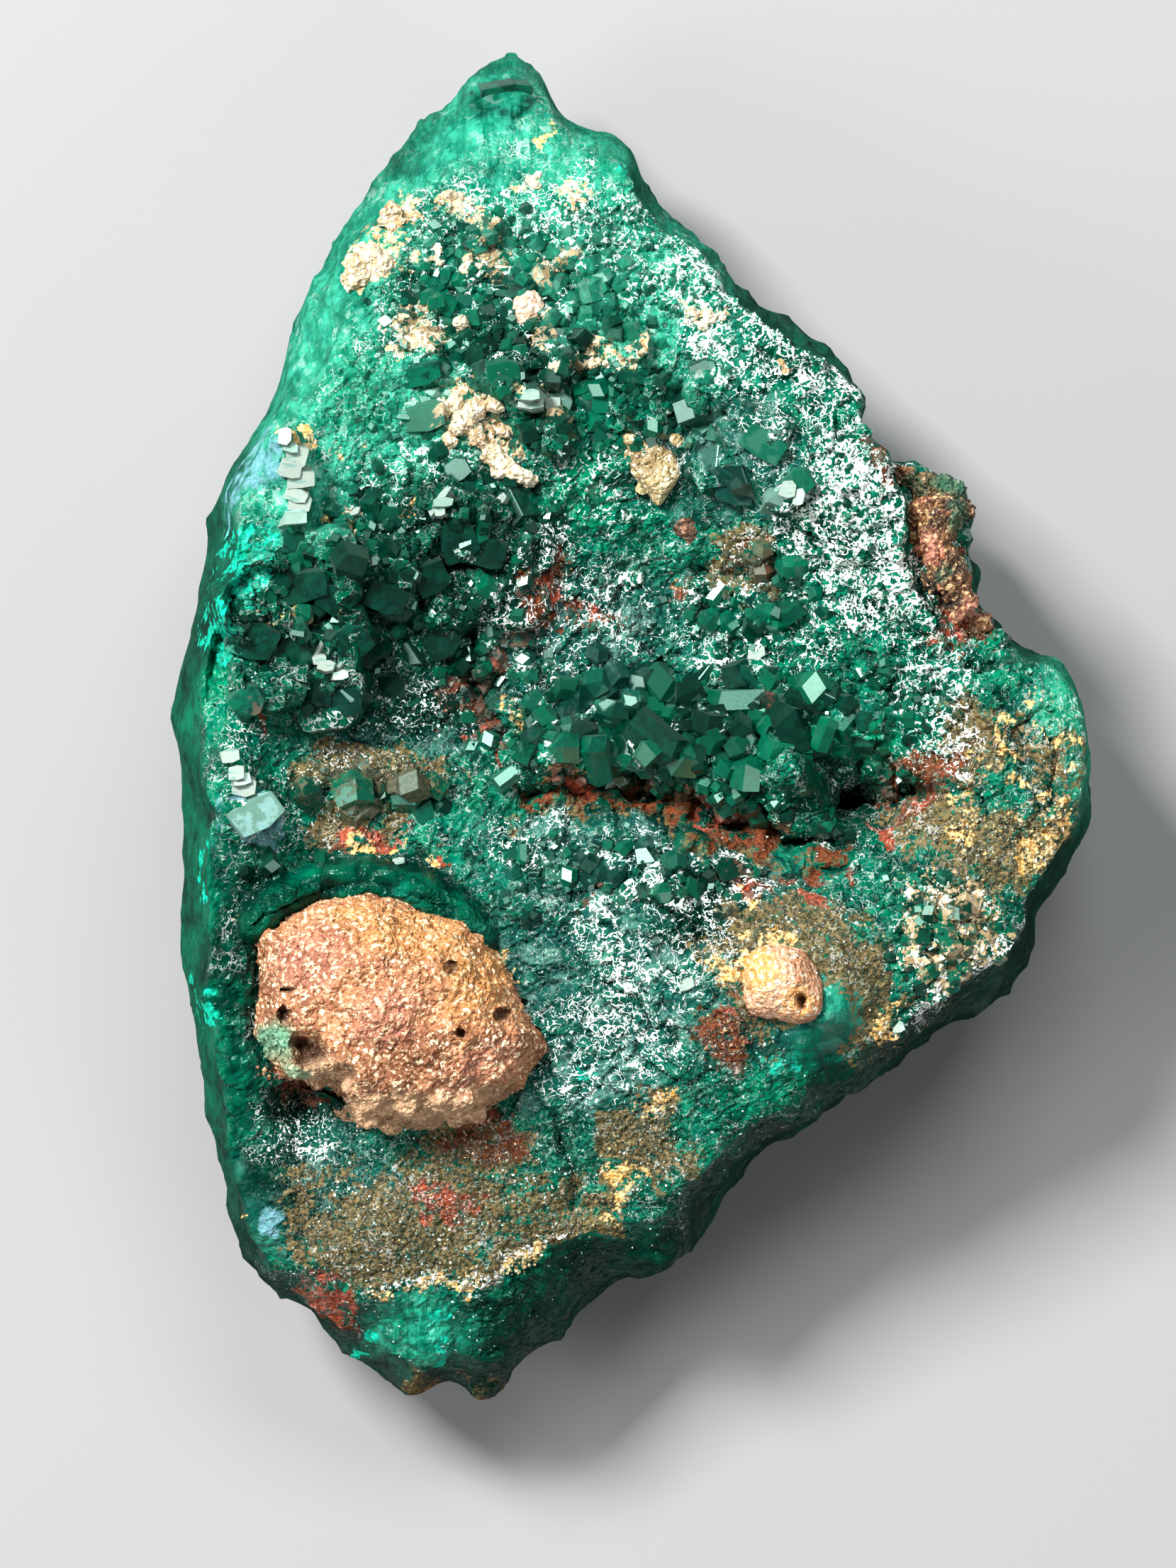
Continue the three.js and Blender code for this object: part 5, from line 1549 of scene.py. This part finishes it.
# Marks on the lumps: middle, half axes, turn and strength.
lumpMarks = {
    "pinkPatch": [(-12.2, -8.6, 1.6, 1.4, 0, 0.5), (-9.4, -10.6, 1.8, 1.0, 20, 0.5),
                  (-5.6, -12.6, 1.6, 0.8, 40, 0.5), (10.9, 6.8, 0.5, 0.6, 0), (12.5, 4.5, 0.7, 0.5, 30),
                  (11.3, 3.9, 0.6, 0.5, 0)],
    "goldPatch": [(-8.4, -7.6, 2.4, 0.9, -10, 0.45), (-6.0, -9.4, 1.4, 1.6, 0, 0.45),
                  (-10.6, -6.9, 1.2, 0.5, 0, 0.4), (4.5, -8.9, 0.8, 0.9, 20), (6.05, -10.2, 0.65, 0.6, 0)],
    "fringePatch": [(-8.6, -14.4, 3.0, 0.9, 0, 0.9), (-11.6, -12.9, 1.4, 0.6, -20, 0.9),
                    (-5.8, -14.0, 1.2, 0.5, 30, 0.7)],
    "turquoisePatch": [(-13.6, -11.7, 0.7, 0.8, 0, 0.8), (-12.9, -12.7, 0.7, 0.3, -20, 0.6),
                       (12.0, 9.3, 0.7, 0.5, 0, 0.5)],
    "mossPatch": [(11.9, 9.3, 1.0, 0.55, -20, 0.9), (12.1, 8.0, 0.45, 0.8, 0, 0.9),
                  (10.4, 9.2, 0.6, 0.4, 0, 0.8), (11.6, 5.8, 0.3, 0.3, 0, 0.7)],
    # painted shade: the pits are carved and also darkened
    "darkPit": [(-6.8, -9.0, 0.3, 0.26, 0), (-6.6, -11.3, 0.2, 0.16, 30), (-13.2, -10.7, 0.26, 0.22, 0),
                (-13.0, -9.7, 0.16, 0.14, 0), (-12.2, -12.0, 0.8, 0.5, -20), (-4.9, -10.6, 0.24, 0.2, 20),
                (6.05, -10.2, 0.32, 0.34, 0)],
}


def buildRoughTree():
    inputs = [("Geometry", "Geometry"), ("Depth", "Float")]
    tree, given, sink = groupTree("roughStone", "GeometryNodeTree", inputs, [("Geometry", "Geometry")])
    position = wireOf(tree, "GeometryNodeInputPosition", 0)
    lumps = -1.0 * cellsOf(position, 1.7)[0] + 0.42
    height = 3.0 * (noiseOf(position, 0.8, 6.0, 0.68) - 0.5) + 0.5 * lumps
    feed(sink, {0: pushedOut(given["Geometry"], height * given["Depth"])})
    return tree


roughTree = buildRoughTree()


def addKnobs(mesh, nodeName, form):
    # the solid drawn in a little and round knobs run into it, so that its outline is crumbly
    coords = coordsOf(mesh)
    low, high = coords.min(0), coords.max(0)
    middle, half = (low + high) / 2, (high - low) / 2
    foot = np.array((middle[0], middle[1], low[2]))
    flat, tall = form["shrink"]
    movePoints(mesh, foot + (coords - foot) * (flat, flat, tall))
    top = low[2] + tall * (high[2] - low[2])
    work = bmesh.new()
    work.from_mesh(mesh)
    skin = BVHTree.FromBMesh(work)
    balls = []
    for index in range(form.get("knobs", 0)):
        seed = index + 1 + form.get("seed", 0)
        angle = 2 * math.pi * spread(seed, 11)
        reach = 0.35 + 0.45 * spread(seed, 12)
        radius = min(half[0], half[1]) * (0.2 + 0.25 * spread(seed, 13))
        x, y = middle[0] + half[0] * reach * math.cos(angle), middle[1] + half[1] * reach * math.sin(angle)
        balls.append((x, y, top - 0.9 * radius - 0.5 * half[2] * reach * spread(seed, 14), radius))
    for x, y, radius in form.get("balls", []):
        balls.append((x, y, slabHeight(x, y) + 0.25 * radius, radius))
    for x, y, radius in footKnobs if nodeName == "large_matrix_lump" else []:
        hit = hitBelow(skin, x, y)
        balls.append((x, y, (hit.z if hit else low[2] + 1.6) - 0.15 * radius, radius))
    for *middle, radius in balls:
        bmesh.ops.create_icosphere(work, subdivisions=2, radius=radius, matrix=Matrix.Translation(middle))
    work.to_mesh(mesh)
    work.free()


def spreadFoot(mesh, amount, height):
    # the foot spreads outwards, so that no gap shows between lump and slab
    coords, normals = coordsOf(mesh), normalsOf(mesh)
    outer = coords[:, :2] + 0.6 * normals[:, :2]
    ground = np.array([slabHeight(x, y) for x, y in outer])
    low = 1.0 - smoothStep(0.0, height, coords[:, 2] - ground)
    coords[:, :2] += (amount * low)[:, None] * normals[:, :2]
    movePoints(mesh, coords)


def markLump(mesh):
    coords = coordsOf(mesh)
    flatX, flatY, z = coords.T
    x, y = flatX + 0.2 * waves(flatX, flatY, 0.8, 4), flatY + 0.2 * waves(flatY, flatX, 0.8, 7)
    for name, places in lumpMarks.items():
        writeMask(mesh, name, 0.85 * patchMask(x, y, places))
    coords[:, 2] -= 0.55 * patchMask(x, y, lumpMarks["darkPit"]) * smoothStep(0.0, 0.6, z - z.min())
    movePoints(mesh, coords)


def roughened(mesh, name, form):
    # the lump with its broken surface, and grains in patches on it, as one mesh
    body = throughTree(mesh, name, roughTree, {"Depth": form["rough"]})
    x, y, z = coordsOf(body).T
    growth = smoothStep(z.min() + 0.2, z.min() + 0.6, z)
    growth = growth * (0.35 + 0.65 * smoothStep(-0.3, 0.3, waves(x, y, 0.7, 9)))
    smallest, largest = form["grain"]
    values = {"Spacing": 1.6 * largest, "Density": 30.0, "Smallest": smallest, "Largest": largest}
    values.update({"Lean": 1.4, "Sink": 0.2, "Seed": 5})
    grains = growDruse(body, growth, name + "Grains", grainKinds, values, stoneMaterials[form["stone"]])
    joined = bmesh.new()
    joined.from_mesh(body)
    joined.from_mesh(grains)
    joined.to_mesh(body)
    joined.free()
    return body


def matrixPiece(nodeName, form):
    cad = cadCopy(nodeName, nodeName)
    addKnobs(cad, nodeName, form)
    mesh = remeshed(cad, form["voxel"], 3)
    spreadFoot(mesh, form.get("foot", 0.08), 0.9)
    markLump(mesh)
    surface = roughened(mesh, nodeName, form)
    finishPiece(surface, nodeName + "_surface", form["slot"], stoneMaterials[form["stone"]], nodeName)


creamCrumbs = [(-8.5, 19.4, 0.32), (-5.6, 19.2, 0.42), (-7.7, 18.0, 0.4), (-6.1, 17.7, 0.46),
               (-3.5, 17.5, 0.42), (-3.9, 20.9, 0.36), (-2.2, 20.0, 0.36), (-6.8, 15.2, 0.44),
               (-3.3, 15.5, 0.36), (-2.9, 13.7, 0.28), (2.6, 15.4, 0.45), (-1.8, 13.9, 0.3),
               (-0.2, 14.2, 0.3), (5.6, 13.6, 0.3)]


def makeCrumbs():
    work = bmesh.new()
    for index, (middleX, middleY, size) in enumerate(creamCrumbs):
        for part in range(5):
            seed = index * 5 + part + 1
            x = middleX + size * (1.6 * spread(seed, 31) - 0.8)
            y = middleY + size * (1.6 * spread(seed, 32) - 0.8)
            radius = size * (0.3 + 0.3 * spread(seed, 33))
            place = Matrix.Translation((x, y, slabHeight(x, y))) @ Matrix.Diagonal((1, 1, 0.8, 1))
            bmesh.ops.create_icosphere(work, subdivisions=2, radius=radius, matrix=place)
    mesh = bpy.data.meshes.new("crumbs")
    work.to_mesh(mesh)
    work.free()
    crumbs = roughened(remeshed(mesh, 0.09, 2), "cream_crumbs", lumpForms["cream_nodule_1"])
    finishPiece(crumbs, "cream_crumbs", "cream_nodule", stoneMaterials["creamSugar"])


for lumpName, lumpForm in lumpForms.items():
    matrixPiece(lumpName, lumpForm)
makeCrumbs()

slab.attributes.remove(slab.attributes["growth"])
finishPiece(slab, "dioptase_slab", "dioptase", glassMaterials["massiveDioptase"], "dioptase_mass")


# Floor, lights and camera.

studio = {
    "floorSize": 12.0, "floorColour": paint(152, 153, 154), "floorRoughness": 0.9,
    "farGlow": (0.13, 0.6, 0.0, 0.57),  # the floor glows from 0.13 m on, fully at 0.6 m: a pale horizon
    "worldColour": paint(232, 236, 240), "worldStrength": 0.14, "backdropStrength": 0.75,
    "lens": 200.0, "viewHeight": 60.03, "lookAt": (-1.83, -2.04), "lookHeight": 6.0,
    "lamps": [  # name, place, size, power in watts, colour
        ("keyLamp", (-0.26, 0.26, 0.42), (0.14, 0.14), 6.4, (1.0, 0.985, 0.96)),
        ("topLamp", (0.1, 0.34, 0.5), (0.3, 0.16), 1.8, (0.96, 0.985, 1.0)),
        ("sideLamp", (-0.42, -0.12, 0.3), (0.16, 0.3), 1.2, (1.0, 0.99, 0.97)),
        ("fillLamp", (0.4, -0.3, 0.34), (0.3, 0.3), 0.8, (1.0, 0.98, 0.95)),
    ],
}


def buildFloor():
    half = studio["floorSize"] / 2
    corners = [(-half, -half, 0), (half, -half, 0), (half, half, 0), (-half, half, 0)]
    mesh = plainMesh("floor", corners, [(0, 1, 2, 3)])
    material, tree, surface, output = newMaterial("paleFloor")
    distance = vectorOf(wireOf(tree, "ShaderNodeTexCoord", "Object"), "DISTANCE", (0, 0, 0))
    feed(surface, {
        "Base Color": studio["floorColour"], "Roughness": studio["floorRoughness"],
        "Emission Color": (1.0, 1.0, 1.0, 1.0), "Emission Strength": rangeOf(distance, *studio["farGlow"]),
    })
    mesh.materials.append(material)
    linkObject("floor", mesh)


def addLamp(name, place, size, power, colour):
    lamp = bpy.data.lights.new(name, "AREA")
    lamp.shape = "RECTANGLE"
    lamp.size, lamp.size_y = size
    lamp.energy = power
    lamp.color = colour
    obj = linkObject(name, lamp)
    obj.location = place
    obj.rotation_euler = (Vector((0, 0, 0.01)) - Vector(place)).to_track_quat("-Z", "Y").to_euler()


def buildWorld():
    # the camera sees a brighter world than the one that lights the specimen
    world = bpy.data.worlds.new("studio")
    world.use_nodes = True
    seen = wireOf(world.node_tree, "ShaderNodeLightPath", "Is Camera Ray")
    strength = rangeOf(seen, 0.0, 1.0, studio["worldStrength"], studio["backdropStrength"])
    feed(world.node_tree.nodes["Background"], {0: studio["worldColour"], 1: strength})
    bpy.context.scene.world = world


def addCamera():
    camera = bpy.data.cameras.new("camera")
    camera.lens = studio["lens"]
    camera.clip_start = 0.005
    distance = studio["viewHeight"] * mm / 2 / (18.0 / studio["lens"])
    obj = linkObject("camera", camera)
    x, y = studio["lookAt"]
    obj.location = (x * mm, y * mm, studio["lookHeight"] * mm + distance)
    bpy.context.scene.camera = obj


buildFloor()
buildWorld()
for lamp in studio["lamps"]:
    addLamp(*lamp)
addCamera()
bpy.context.scene.view_settings.view_transform = "Standard"
print("studio built")
